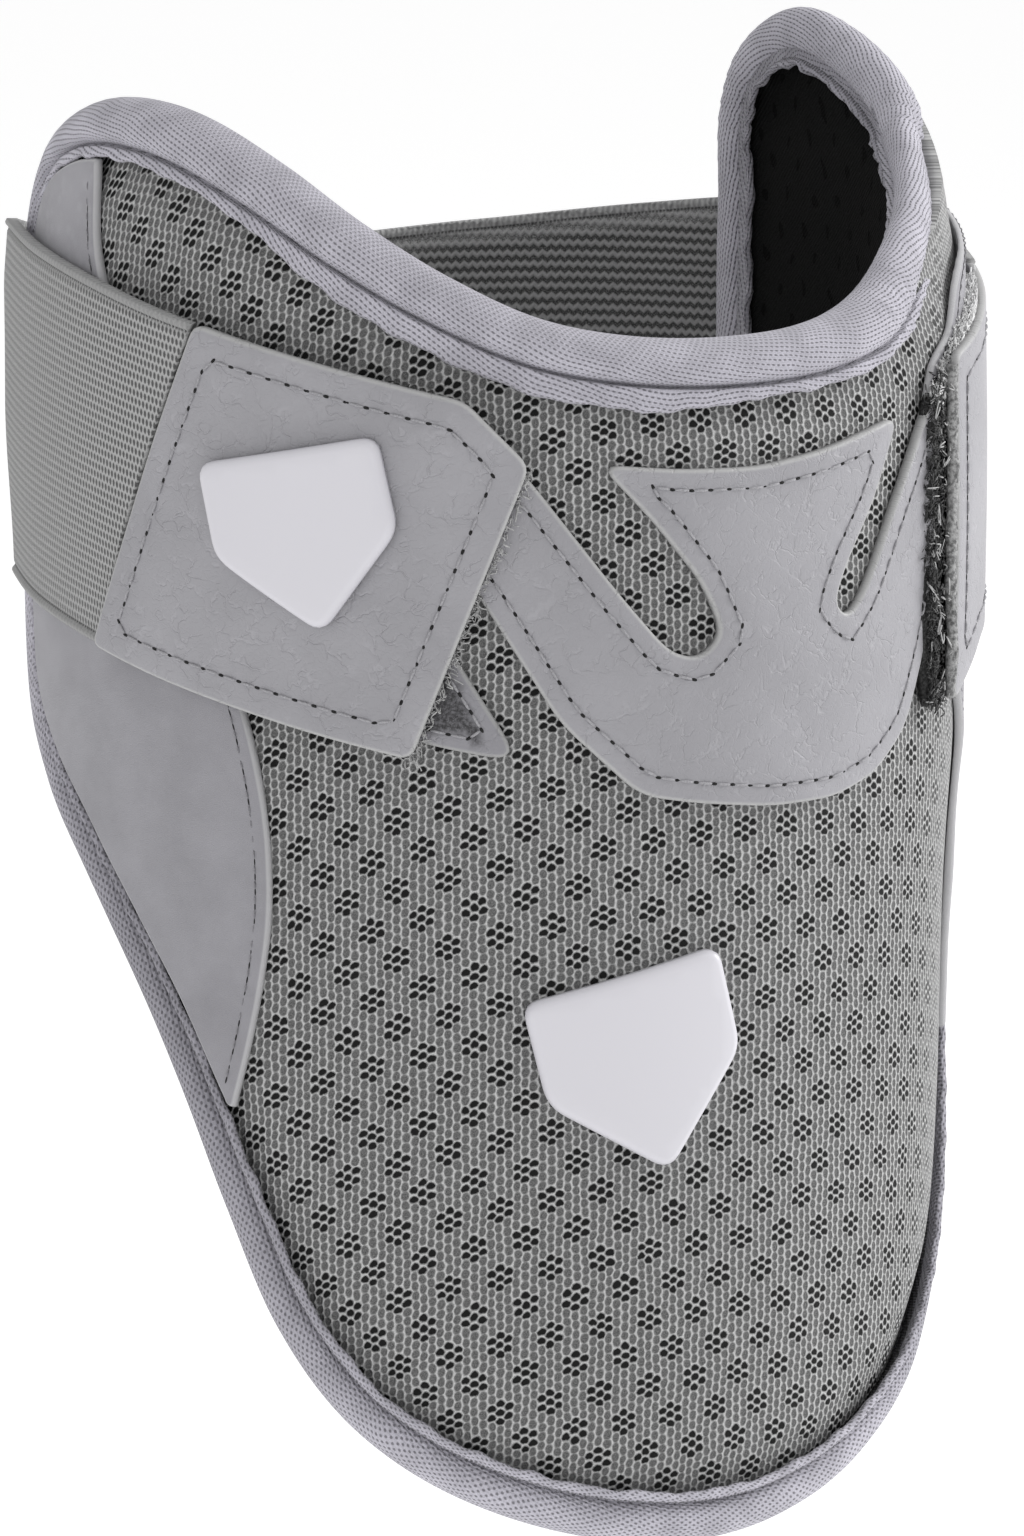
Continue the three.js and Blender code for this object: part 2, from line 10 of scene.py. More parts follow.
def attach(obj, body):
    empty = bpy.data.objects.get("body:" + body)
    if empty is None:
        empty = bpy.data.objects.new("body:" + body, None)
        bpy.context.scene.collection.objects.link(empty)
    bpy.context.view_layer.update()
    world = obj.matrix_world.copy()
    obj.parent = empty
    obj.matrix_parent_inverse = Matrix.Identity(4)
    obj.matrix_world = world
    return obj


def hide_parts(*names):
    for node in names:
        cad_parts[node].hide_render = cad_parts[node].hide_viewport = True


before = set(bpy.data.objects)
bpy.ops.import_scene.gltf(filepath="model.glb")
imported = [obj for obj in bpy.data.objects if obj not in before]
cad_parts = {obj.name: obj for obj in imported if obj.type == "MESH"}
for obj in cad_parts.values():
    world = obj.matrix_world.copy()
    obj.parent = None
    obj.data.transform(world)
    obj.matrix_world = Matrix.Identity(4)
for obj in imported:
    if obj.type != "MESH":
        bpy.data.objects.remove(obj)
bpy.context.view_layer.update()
scene = bpy.context.scene
rng = np.random.default_rng(7)

# Sizes of the guard in millimetres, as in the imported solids.
GUARD_RADIUS = 62
GUARD_HEIGHT = 188
STRAP_LEVEL = 138.8
COVER = 5.4
LINING = 1.2
GAP = 0.3
EDGE_COVER = 2
EDGE_LINING = 0.8
PINCH = 9.6
ROLL_REACH = 3.6
ROLL_DEPTH = 4.6
ROLL_PROUD = 1.6
INNER_HEM = 2.2
# The roll's section is drawn to this angle either side of its outermost point, and its crease is tucked by
# this share above the strap.
CREASE_ANGLE = 150
ROLL_SAMPLES = 27
UPPER_TUCK = 0.38
SEWN_GAP = 0.45
PANEL = 0.8
STRAP_WIDTH = 48
STRAP = 1.2
STRAP_BACK_RADIUS = 60
HOOK = 0.9
TAB = 1.2

PAD = COVER + GAP + LINING
PANEL_OUT = SEWN_GAP + PANEL
HOOK_OUT = PANEL_OUT + GAP + HOOK
TAB_IN = HOOK_OUT + GAP
TAB_OUT = TAB_IN + TAB
STRAP_IN = max(TAB_IN, ROLL_PROUD + GAP)
EDGE_OUTER = (-PAD + EDGE_COVER + GAP + EDGE_LINING) / 2
ARC = radians(GUARD_RADIUS)  # Millimetres to one degree round the guard.

# Pieces sewn flat start this far out, inside the binding's hem.
SEWN_IN = 0.25
# Millimetres to one unit of the UV map.
UV_UNIT = 10

# Edge line: turn from the front, height share on the right, height share on the left.
EDGE = [
    (0, 0.819, 0.819), (15, 0.824, 0.824), (27, 0.84, 0.838), (39, 0.868, 0.867),
    (51, 0.894, 0.903), (63, 0.922, 0.94), (75, 0.956, 0.965), (86, 0.986, 0.973),
    (97, 1, 0.967), (106.5, 0.975, 0.944), (111.5, 0.932, 0.911), (113, 0.86, 0.845),
    (113.5, 0.755, 0.75), (114, 0.645, 0.645), (111, 0.56, 0.56), (102, 0.505, 0.505),
    (90.7, 0.453, 0.451), (80.2, 0.386, 0.383), (71.8, 0.305, 0.311), (65, 0.226, 0.232),
    (58, 0.162, 0.15), (50, 0.116, 0.092), (41, 0.086, 0.054), (29, 0.053, 0.024),
    (15, 0.019, 0.005), (0, 0.001, 0.001),
]
# Rows of EDGE at the ear's rear corner, at the flank and short of the low point.
EAR_ROW, FLANK_ROW, RIGHT_ROWS = 10, 15, 24
# Share of the guard's radius by height share.
GIRTH = [
    (-0.05, 0.93), (0, 0.95), (0.075, 0.972), (0.18, 0.986), (0.31, 0.994),
    (0.47, 1), (0.86, 0.997), (0.94, 0.972), (1.05, 0.93),
]
# Size of the binding's roll by height share.
ROLL = [(-0.05, 0.82), (0.4, 0.82), (0.78, 1), (1.05, 1)]
# Outlines of what is sewn on: turn from the front, height share.
PANEL_FRONT = [
    (62.7, 0.338), (60.8, 0.39), (59.6, 0.44), (60, 0.5), (62, 0.56),
    (67, 0.64), (75, 0.74), (84, 0.84), (88.5, 0.895),
]
RIGHT_PANEL_FRONT = [
    (62.7, 0.338), (60.5, 0.385), (58.5, 0.43), (56, 0.495), (47, 0.56), (37, 0.62), (32.5, 0.68),
    (31.8, 0.74), (34.6, 0.797), (42, 0.82), (46, 0.846), (51, 0.862), (64, 0.878), (80, 0.9), (88.5, 0.912),
]
# Where a panel's rear edge starts and ends, in rows of EDGE.
PANEL_LOW, PANEL_HIGH = 18.3, 7.5
OVERLAY = [
    (-40.5, 0.716), (-33.6, 0.667), (-24, 0.578), (-14.4, 0.526), (-6.8, 0.518), (3, 0.511),
    (13, 0.511), (20.5, 0.522), (26.8, 0.549), (32, 0.603), (38.5, 0.69), (44, 0.75),
    (39, 0.808), (31.2, 0.764), (24, 0.708), (18.3, 0.654), (15.2, 0.636), (12.7, 0.648),
    (15, 0.676), (20, 0.718), (25, 0.772), (11, 0.757), (1, 0.75), (-9.5, 0.752),
    (-19.5, 0.758), (-13, 0.718), (-6.6, 0.672), (-3.8, 0.636), (-7, 0.619), (-11, 0.626),
    (-17, 0.667), (-27.7, 0.748), (-34, 0.786),
]
PATCH = [(-28.6, 0.552), (-43.5, 0.69), (-57, 0.69), (-60, 0.6), (-40, 0.564)]
# The strap's middle by turn, in strap widths, and outlines on it by turn and share of its width. The tabs
# meet the elastic at the two joint turns, at its upper and its lower edge.
STRAP_RUN = [
    (20, -0.31), (35, -0.242), (54, -0.133), (69, -0.062), (85, 0.012), (100, 0.03),
    (115, 0.005), (130, -0.035), (150, -0.085), (180, -0.12), (205, -0.06), (225, 0.03),
    (245, 0.1), (260, 0.068), (275, 0.012), (291, -0.062), (306, -0.133), (325, -0.242),
    (340, -0.31),
]
JOINT_TOP, JOINT_BOTTOM = 68.6, 85.4
LEFT_TAB = [(-41.4, -0.51), (-27.9, 0.36), (-35.2, 0.5)]
RIGHT_TAB = [(36.6, 0.5), (36.4, -0.465), (48, -0.4), (62, -0.43)]
BADGE = [(0.5, 0.5), (-0.5, 0.5), (-0.5, -0.02), (0, -0.5), (0.5, -0.02)]

# Lean of the form away from the round, in millimetres. SLIM takes in the right flank by height share, and
# FULL lets out the lower left. The rest are by row of the right edge line: how far the binding and the cover
# come in towards the arm, and how much thinner the pad is.
SLIM = [(-0.05, 3.2), (0.08, 3.0), (0.15, 1.9), (0.25, 1.4), (0.42, 1.2), (0.54, 0), (1.05, 0)]
FULL = 0.8
PULL = [(1.6, 0), (3.2, 3.0), (5.2, 3.1), (6.1, 1.1), (7, 1.4), (8, 2.2), (9, 2.0), (10.6, 0), (24, 0)]
COVER_PULL = [
    (1.6, 0), (3.2, 0.7), (4.3, -0.3), (5.1, -1.4), (6.2, -1.6), (7, 0.6), (8, 2.2), (9, 2), (10.6, 0),
    (24, 0),
]
SQUEEZE = [
    (1.6, 0), (3, 2.4), (4.6, 3.5), (5.4, 3.1), (6.2, 2.4), (7, 2.2), (9, 2), (13, 2), (14.6, 0), (24, 0),
]
PULL_REACH, COVER_PULL_REACH, SQUEEZE_REACH = 7, 6, 11


# Curves and the chart.
def hermite(t, start, start_slope, end, end_slope):
    return (
        (2 * t**3 - 3 * t**2 + 1) * start + (t**3 - 2 * t**2 + t) * start_slope
        + (3 * t**2 - 2 * t**3) * end + (t**3 - t**2) * end_slope
    )


def smooth(rows, x):
    """Smooth curve through the rows of a table."""
    xs, ys = np.array(rows, float).T
    slopes = np.gradient(ys, xs)
    slopes[1:-1] = (ys[2:] - ys[:-2]) / (xs[2:] - xs[:-2])
    x = np.asarray(x, float)
    i = np.clip(np.searchsorted(xs, x, "right") - 1, 0, len(xs) - 2)
    span = xs[i + 1] - xs[i]
    t = np.clip((x - xs[i]) / span, 0, 1)
    return hermite(t, ys[i], span * slopes[i], ys[i + 1], span * slopes[i + 1])


def step(x, low, high):
    t = np.clip((np.asarray(x, float) - low) / (high - low), 0, 1)
    return t * t * (3 - 2 * t)


def height_of(rise):
    return np.asarray(rise) * GUARD_HEIGHT - STRAP_LEVEL


def rise_of(height):
    return (np.asarray(height) + STRAP_LEVEL) / GUARD_HEIGHT


def chart(rows):
    """Chart points, in millimetres on the unrolled guard, from turns and height shares."""
    rows = np.array(rows, float)
    return np.stack([rows[:, 0] * ARC, height_of(rows[:, 1])], 1)


def lift_at(turn):
    turn = np.asarray(turn, float)
    return STRAP_WIDTH * smooth(STRAP_RUN, np.where(turn < 0, turn + 360, turn))


def strap_chart(rows):
    rows = np.array(rows, float)
    return np.stack([rows[:, 0] * ARC, lift_at(rows[:, 0]) + rows[:, 1] * STRAP_WIDTH], 1)


def polar(x, radius, z):
    angle = np.radians(np.asarray(x) / ARC)
    return np.stack([radius * np.sin(angle), -radius * np.cos(angle), z + 0 * angle], -1) / 1000


def edge_effect(points, rows, reach):
    """A table by row of the right edge line, carried inward from the edge and fading over reach."""
    stride = 4
    line = edge[:RIGHT_ROWS * PER:stride]
    gaps = np.linalg.norm(line[None] - points[:, None], axis=2)
    return smooth(rows, np.argmin(gaps, 1) * stride / PER) * np.exp(-((np.min(gaps, 1) / reach) ** 2))


def slim(p):
    """How far the right flank comes in, less how far the lower left goes out."""
    turn, rise = p[:, 0] / ARC, rise_of(p[:, 1])
    right = smooth(SLIM, rise) * np.exp(-(((turn - 56) / 22) ** 2))
    return right - FULL * np.exp(-(((turn + 64) / 20) ** 2)) * (1 - step(rise, 0.28, 0.4))


def guard_radius(p):
    return GUARD_RADIUS * smooth(GIRTH, rise_of(p[:, 1])) - slim(p)


def on_guard(p, out):
    return polar(p[:, 0], guard_radius(p) + out - edge_effect(p, COVER_PULL, COVER_PULL_REACH), p[:, 1])


def on_strap(p, out):
    turn = p[:, 0] / ARC
    bend = step(np.minimum(turn, 360 - turn), 121, 180)
    radius = (GUARD_RADIUS + STRAP_IN) * (1 - bend) + STRAP_BACK_RADIUS * bend + out
    share = (p[:, 1] - lift_at(turn)) / STRAP_WIDTH
    left = step(turn, 180, 215) * (1 - step(turn, 272, 290))
    radius -= left * (0.25 + step(-share, 0, 0.5) + 0.6 * step(share, 0.3, 0.5))
    return polar(p[:, 0], radius, p[:, 1])


def catmull(knots, per, closed=True):
    """Centripetal curve through chart points, per samples to a stretch."""
    knots = np.array(knots, float)
    n = len(knots)
    out = []
    for i in range(n if closed else n - 1):
        if closed:
            p0, p1, p2, p3 = (knots[(i + k) % n] for k in (-1, 0, 1, 2))
        else:
            p1, p2 = knots[i], knots[i + 1]
            p0 = knots[i - 1] if i else 2 * p1 - p2
            p3 = knots[i + 2] if i + 2 < n else 2 * p2 - p1
        d0, d1, d2 = (sqrt(np.linalg.norm(b - a)) or 1 for a, b in ((p0, p1), (p1, p2), (p2, p3)))
        m1 = ((p1 - p0) / d0 - (p2 - p0) / (d0 + d1) + (p2 - p1) / d1) * d1
        m2 = ((p2 - p1) / d1 - (p3 - p1) / (d1 + d2) + (p3 - p2) / d2) * d1
        out += [hermite(k / per, p1, m1, p2, m2) for k in range(per)]
    if not closed:
        out.append(knots[-1])
    return np.array(out)


def lengths(vectors):
    return np.linalg.norm(vectors, axis=1)[:, None]


def edge_knots():
    right = chart([(t, r) for t, r, _ in EDGE])
    left = chart([(-t, l) for t, _, l in EDGE[1:-1]])
    return np.vstack([right, left[::-1]])


# Samples of the edge line to a row of EDGE, and to a column of the pad.
PER = 20
PAD_STRIDE = 4
edge = catmull(edge_knots(), PER)
tangent = np.roll(edge, -1, 0) - np.roll(edge, 1, 0)
outward = np.stack([-tangent[:, 1], tangent[:, 0]], 1)
outward /= lengths(outward)
STATIONS = len(edge)


def moved_out(i, distance):
    i = np.asarray(i) % STATIONS
    return edge[i] + outward[i] * distance


# Mesh building.
def added(name, data):
    """A new object in the scene."""
    made = bpy.data.objects.new(name, data)
    scene.collection.objects.link(made)
    return made


def build(name, points, faces, uv, materials, choice=None):
    """A smooth piece on the body; choice picks each face's material."""
    mesh = bpy.data.meshes.new(name)
    mesh.from_pydata([tuple(p) for p in points], [], [tuple(int(k) for k in f) for f in faces])
    layer = mesh.uv_layers.new(name="chart")
    loops = np.empty(len(mesh.loops), int)
    mesh.loops.foreach_get("vertex_index", loops)
    layer.data.foreach_set("uv", np.asarray(uv, float)[loops].ravel())
    for material in materials:
        mesh.materials.append(material)
    if choice is not None:
        mesh.polygons.foreach_set("material_index", choice)
    mesh.polygons.foreach_set("use_smooth", [True] * len(mesh.polygons))
    mesh.validate()
    piece = added(name, mesh)
    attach(piece, "root")
    return piece


def add_marks(piece, marks):
    """Numbers at the points, by name, for the materials to read."""
    for name, values in marks.items():
        layer = piece.data.attributes.new(name, "FLOAT", "POINT")
        layer.data.foreach_set("value", np.asarray(values, float))


def grid_faces(columns, rows):
    width = columns + 1
    starts = [j * width + i for j in range(rows) for i in range(columns)]
    return [(a, a + 1, a + 1 + width, a + width) for a in starts]


def closed_solid(name, points, faces, outer, inner, place, material):
    """A closed piece over chart faces, between two heights out from the guard or the strap."""
    count = len(points)
    all_faces = list(faces) + [tuple(k + count for k in reversed(f)) for f in faces]
    directed = {(f[k], f[(k + 1) % len(f)]) for f in faces for k in range(len(f))}
    for a, b in directed:
        if (b, a) not in directed:
            all_faces.append((b, a, a + count, b + count))
    solid = np.vstack([place(points, outer), place(points, inner)])
    return build(name, solid, all_faces, np.vstack([points, points]) / UV_UNIT, [material])


def along_line(line):
    """Distance along a line at each of its points."""
    return np.concatenate([[0], np.cumsum(np.linalg.norm(np.diff(line, axis=0), axis=1))])


def resample(line, pitch, closed=True):
    line = np.asarray(line, float)
    if closed:
        line = np.vstack([line, line[:1]])
    along = along_line(line)
    count = max(int(round(along[-1] / pitch)), 3)
    at = np.linspace(0, along[-1], count + 1)
    if closed:
        at = at[:-1]
    return np.stack([np.interp(at, along, line[:, k]) for k in (0, 1)], 1)


def rounded(corners, radius):
    out, steps = [], 5
    n = len(corners)
    for i, c in enumerate(corners):
        ends = []
        for other in (corners[i - 1], corners[(i + 1) % n]):
            length = np.linalg.norm(other - c)
            ends.append(c + (other - c) * min(radius / length, 0.45))
        for k in range(steps + 1):
            t = k / steps
            out.append(ends[0] * (1 - t) ** 2 + 2 * c * t * (1 - t) + ends[1] * t * t)
    return np.array(out)


def area_of(line):
    x, y = line[:, 0], line[:, 1]
    return 0.5 * np.sum(x * np.roll(y, -1) - np.roll(x, -1) * y)


def turned(line):
    """The outline, running anticlockwise."""
    return line if area_of(line) > 0 else line[::-1]


def inset(line, margin):
    line = turned(line)
    a = line - np.roll(line, 1, 0)
    b = np.roll(line, -1, 0) - line
    na = np.stack([-a[:, 1], a[:, 0]], 1) / lengths(a)
    nb = np.stack([-b[:, 1], b[:, 0]], 1) / lengths(b)
    both = na + nb
    return line + both * (2 * margin / np.maximum(np.sum(both**2, 1), 0.6))[:, None]


def legs(line, closed):
    """Where the stretches of a line start and end."""
    return (line, np.roll(line, -1, 0)) if closed else (line[:-1], line[1:])


def distance_to(points, line, closed=True):
    best = np.full(len(points), 1e9)
    for a, b in zip(*legs(line, closed)):
        ab = b - a
        t = np.clip((points - a) @ ab / max(ab @ ab, 1e-12), 0, 1)
        best = np.minimum(best, np.linalg.norm(points - a - t[:, None] * ab, axis=1))
    return best


def inside(points, line):
    x, y = points[:, 0], points[:, 1]
    result = np.zeros(len(points), bool)
    for (ax, ay), (bx, by) in zip(*legs(line, True)):
        crosses = (ay > y) != (by > y)
        with np.errstate(divide="ignore", invalid="ignore"):
            result ^= crosses & (x < (bx - ax) * (y - ay) / (by - ay) + ax)
    return result


def plate(name, outline, low, high, material, rim=0.5, pitch=2.0, relief=None, seam=None):
    """Plate over a chart outline from low to high, with a rounded top edge of radius rim, in millimetres."""
    ring = turned(resample(outline, 0.8))
    loops = [ring, inset(ring, rim * 0.35), inset(ring, rim)]
    lo, hi = ring.min(0), ring.max(0)
    gx, gy = np.meshgrid(np.arange(lo[0], hi[0], pitch), np.arange(lo[1], hi[1], pitch))
    inner = np.stack([gx.ravel(), gy.ravel()], 1)
    inner = inner[inside(inner, ring)]
    inner = inner[distance_to(inner, ring) > rim + 0.6]
    points = np.vstack(loops + [inner])
    edges, start = [], 0
    for loop in loops:
        n = len(loop)
        edges += [(start + k, start + (k + 1) % n) for k in range(n)]
        start += n
    made = delaunay_2d_cdt([Vector(p) for p in points], edges, [], 1, 1e-5)
    points = np.array([tuple(p) for p in made[0]])
    faces = [tuple(f) for f in made[2]]
    depth = distance_to(points, ring)
    fall = np.clip(1 - depth / rim, 0, 1)
    top = high - rim * 0.9 * (1 - np.sqrt(np.clip(1 - fall**2, 0, 1)))
    if relief is not None:
        top = top + relief(points)
    top = np.maximum(top, low + 0.1)
    piece = closed_solid(name, points, faces, top, np.full(len(points), low), on_guard, material)
    add_marks(piece, {"depth": np.concatenate([depth, -np.ones(len(points))])})
    if seam is not None:
        add_marks(piece, {"within": np.tile(inside(points, seam), 2)})
    return piece


def sweep(paths, radii, sides):
    """Tubes along 3-D paths, all in one list of points and faces."""
    points, faces = [], []
    angle = np.linspace(0, 2 * pi, sides, endpoint=False)[None, :, None]
    for path, radius in zip(paths, radii):
        start = len(points)
        last = start + (len(path) - 1) * sides
        tangents = np.gradient(path, axis=0)
        tangents /= np.maximum(lengths(tangents), 1e-12)
        across = np.cross(tangents, [0.31, 0.21, 0.93])
        across /= np.maximum(lengths(across), 1e-12)
        up = np.cross(across, tangents)
        size = np.broadcast_to(radius, len(path))[:, None, None]
        rings = path[:, None] + (across[:, None] * np.cos(angle) + up[:, None] * np.sin(angle)) * size
        points.extend(rings.reshape(-1, 3))
        for ring in range(start, last, sides):
            for k in range(sides):
                a, b = ring + k, ring + (k + 1) % sides
                faces.append((a, b, b + sides, a + sides))
        faces += [tuple(range(start, start + sides))[::-1], tuple(range(last, last + sides))]
    return points, faces


def stitches(name, line, level, threads, pitch=2.65, length=2.1, radius=0.2, closed=True):
    """A row of thread stitches along a chart line, with a dark needle hole between each two."""
    starts, ends = legs(resample(line, pitch, closed), closed)
    samples, sides = 7, 10
    reach = length / pitch / 2
    t = np.linspace(0.5 - reach, 0.5 + reach, samples)[:, None]
    bow = np.sin(np.linspace(0, pi, samples))
    angle = np.linspace(0, 2 * pi, sides, endpoint=False)[:, None]
    hole_length, hole_width = (pitch - length) / 2 + 0.16, radius * 1.05
    flats, holes, hole_faces = [], [], []
    for a, b in zip(starts, ends):
        flats.append(a + (b - a) * t)
        way = (b - a) / np.linalg.norm(b - a)
        side = np.array([-way[1], way[0]])
        first = len(holes)
        holes.extend([a, *(a + np.cos(angle) * way * hole_length + np.sin(angle) * side * hole_width), a])
        for k in range(sides):
            here, after = first + 1 + k, first + 1 + (k + 1) % sides
            hole_faces += [(first, here, after), (first + sides + 1, after, here)]
    flat = np.vstack(flats)
    lifts = level(flat) - 0.06 + 0.2 * np.tile(bow**0.5, len(flats))
    sizes = [radius / 1000 * (0.35 + 0.65 * bow**0.4)] * len(flats)
    points, faces = sweep(np.split(on_guard(flat, lifts), len(flats)), sizes, 6)
    all_faces = faces + [tuple(k + len(points) for k in f) for f in hole_faces]
    choice = [0] * len(faces) + [1] * len(hole_faces)
    holes = np.array(holes)
    lens = np.tile([0.08] + [0.05] * sides + [-0.2], len(starts))
    points = list(points) + list(on_guard(holes, level(holes) + lens))
    build(name, points, all_faces, np.zeros((len(points), 2)), [threads, needle_hole], choice)


# Shader graphs, written as arithmetic on their values.
class Value:
    """One output of a shader graph, which can be added to, multiplied and so on."""
    def __init__(self, graph, socket):
        self.graph = graph
        self.socket = socket

    def to(self, operation, other=None):
        return self.graph.math(operation, self, other)

    def __add__(self, other):
        return self.to("ADD", other)

    def __sub__(self, other):
        return self.to("SUBTRACT", other)

    def __rsub__(self, other):
        return self.graph.math("SUBTRACT", other, self)

    def __mul__(self, other):
        return self.to("MULTIPLY", other)

    def __truediv__(self, other):
        return self.to("DIVIDE", other)


class Graph:
    def __init__(self, name):
        self.material = bpy.data.materials.new(name)
        self.material.use_nodes = True
        self.tree = self.material.node_tree
        self.shader = self.tree.nodes["Principled BSDF"]
        self.set("Roughness", 0.85)
        self.set("Specular IOR Level", 0.3)

    def set(self, name, value):
        self.shader.inputs[name].default_value = value

    def node(self, kind, **settings):
        made = self.tree.nodes.new(kind)
        for key, value in settings.items():
            setattr(made, key, value)
        return made

    def put(self, socket, value):
        if isinstance(value, Value):
            self.tree.links.new(value.socket, socket)
        elif value is not None:
            socket.default_value = value

    def fed(self, made, inputs, output=0):
        """The output of a node once its inputs, by name or number, hold the given values."""
        for key, value in inputs.items():
            self.put(made.inputs[key], value)
        return Value(self, made.outputs[output])

    def math(self, operation, a, b=None):
        return self.fed(self.node("ShaderNodeMath", operation=operation), {0: a, 1: b})

    def ramp(self, value, low, high):
        made = self.node("ShaderNodeMapRange", interpolation_type="SMOOTHSTEP")
        return self.fed(made, {0: value, 1: low, 2: high})

    def vector(self, x, y):
        return self.fed(self.node("ShaderNodeCombineXYZ"), {0: x, 1: y})

    def mix(self, factor, a, b):
        return self.fed(self.node("ShaderNodeMix", data_type="RGBA"), {0: factor, 6: a, 7: b}, 2)

    def shades(self, factor, low, high, tint=0.0):
        return self.mix(factor, grey(low, tint), grey(high, tint))

    def chart(self):
        """The two chart coordinates in millimetres, and both as one place."""
        split = self.node("ShaderNodeSeparateXYZ")
        self.put(split.inputs[0], self.fed(self.node("ShaderNodeUVMap", uv_map="chart"), {}))
        u, v = (Value(self, split.outputs[k]) * UV_UNIT for k in (0, 1))
        return u, v, self.vector(u, v)

    def object_mm(self):
        place = self.fed(self.node("ShaderNodeTexCoord"), {}, "Object")
        return self.fed(self.node("ShaderNodeVectorMath", operation="SCALE"), {0: place, "Scale": 1000})

    def noise(self, place, scale, detail=2.0, roughness=0.5):
        inputs = {"Vector": place, "Scale": scale, "Detail": detail, "Roughness": roughness}
        return self.fed(self.node("ShaderNodeTexNoise"), inputs, "Fac")

    def voronoi(self, place, scale, feature="F1"):
        made = self.node("ShaderNodeTexVoronoi", feature=feature)
        return self.fed(made, {"Vector": place, "Scale": scale}, "Distance")

    def attribute(self, name):
        return self.fed(self.node("ShaderNodeAttribute", attribute_name=name), {}, "Fac")

    def color(self, value):
        self.put(self.shader.inputs["Base Color"], value)

    def bump(self, height, depth, strength):
        """Relief of the given depth in millimetres."""
        inputs = {"Height": height, "Distance": depth / 1000, "Strength": strength}
        self.put(self.shader.inputs["Normal"], self.fed(self.node("ShaderNodeBump"), inputs))


def grey(level, tint=0.0):
    """Linear colour from a displayed level of 0 to 255; tint leans it towards lilac."""
    linear = (level / 255) ** 2.2
    return (linear, linear * (1 - tint * 0.3), linear * (1 + tint), 1)


def norm(a, b):
    return (a * a + b * b).to("SQRT")


def oval(du, dv, half_u, half_v):
    """1 at the rim of an oval with these half widths, less inside it."""
    return norm(du / half_u, dv / half_v)


def ripple(value, pitch):
    """Waves between 0 and 1."""
    return ((value * (2 * pi / pitch)).to("SINE") + 1) * 0.5


def specks(g, value, pitch, low, high):
    """Short marks in a row, one to a pitch."""
    return g.ramp((value.to("PINGPONG", pitch) - pitch / 2).to("ABSOLUTE"), low, high)


def lattice(u, v, width, height, share):
    """Offsets from the nearest cell's middle, and that middle, with the cells moved by a share."""
    shift_u, shift_v = width * share, height * share
    u = u + shift_u
    v = v + shift_v
    middle_u = (u / width).to("ROUND") * width
    middle_v = (v / height).to("ROUND") * height
    return u - middle_u, v - middle_v, middle_u - shift_u, middle_v - shift_v


def nearest(u, v, width, height):
    """Offsets from, and place of, the nearest point of a lattice of rows staggered by half a cell."""
    first = lattice(u, v, width, height, 0)
    second = lattice(u, v, width, height, 0.5)
    pick = norm(*second[:2]).to("LESS_THAN", norm(*first[:2]))
    return [(b - a) * pick + a for a, b in zip(first, second)]


def spacer_mesh_material():
    """A net of pale threads with a painted highlight on their crests: shallow cells painted darker and
    clusters of seven open ones painted near black, as painted shade in them; pulled tight at the right.
    """
    g = Graph("spacer_mesh")
    u, v, place = g.chart()
    tight = g.ramp(u, 34, 62)
    v = v + u * u * 0.003
    u = u + (g.noise(g.vector(u, v), 0.25) - 0.5) * 0.9
    v = v + (g.noise(g.vector(u + 40, v), 0.25) - 0.5) * 0.9
    pitch = 1.3
    column = pitch * sqrt(3) / 2
    du, dv, cell_u, cell_v = nearest(u, v, 2 * column, pitch)
    cluster_u, cluster_v, _, _ = nearest(cell_u, cell_v, 6 * column, 7 * pitch)
    is_open = g.ramp(norm(cluster_u, cluster_v), 1.75, 1.55)
    closed_gap = oval(du, dv, 0.38, 0.51)
    open_gap = oval(du, dv + du.to("ABSOLUTE") * 0.22, 0.5, 0.4)
    fray = (g.noise(place, 2.0, 4, 0.65) - 0.5) * 0.75
    distance = (open_gap - closed_gap) * is_open + closed_gap + fray
    rim = is_open * 0.08 + 0.95 - tight * 0.22
    soft = 0.24 - is_open * 0.12
    hole = g.ramp(distance - rim, soft, soft * -1)
    # Painted highlight: the threads' crests are painted lighter, and they are also raised by the bump.
    lit = g.ramp(distance, 0.95, 1.55)
    fibre = g.noise(place, 5.5, 3, 0.7)
    strand = g.mix(lit, g.shades(fibre, 88, 150), g.shades(fibre, 142, 228))
    # Painted shade: the shallow cells are painted darker and the open ones near black, where shade falls
    # inside them.
    shallow = g.shades(g.ramp(fibre, 0.3, 0.7), 68, 122)
    floor = g.mix(tight * 0.5, g.mix(is_open, shallow, grey(14)), grey(138))
    ribs = g.shades(ripple(v, pitch / 2), 120, 176)
    g.color(g.mix(tight * 0.55, g.mix(hole, strand, floor), ribs))
    height = lit * 0.7 - hole * (is_open * 0.7 + 0.3) + fibre * 0.3
    g.bump(height * (1 - tight * 0.6), 0.5, 0.9)
    g.set("Roughness", 0.8)
    return g.material


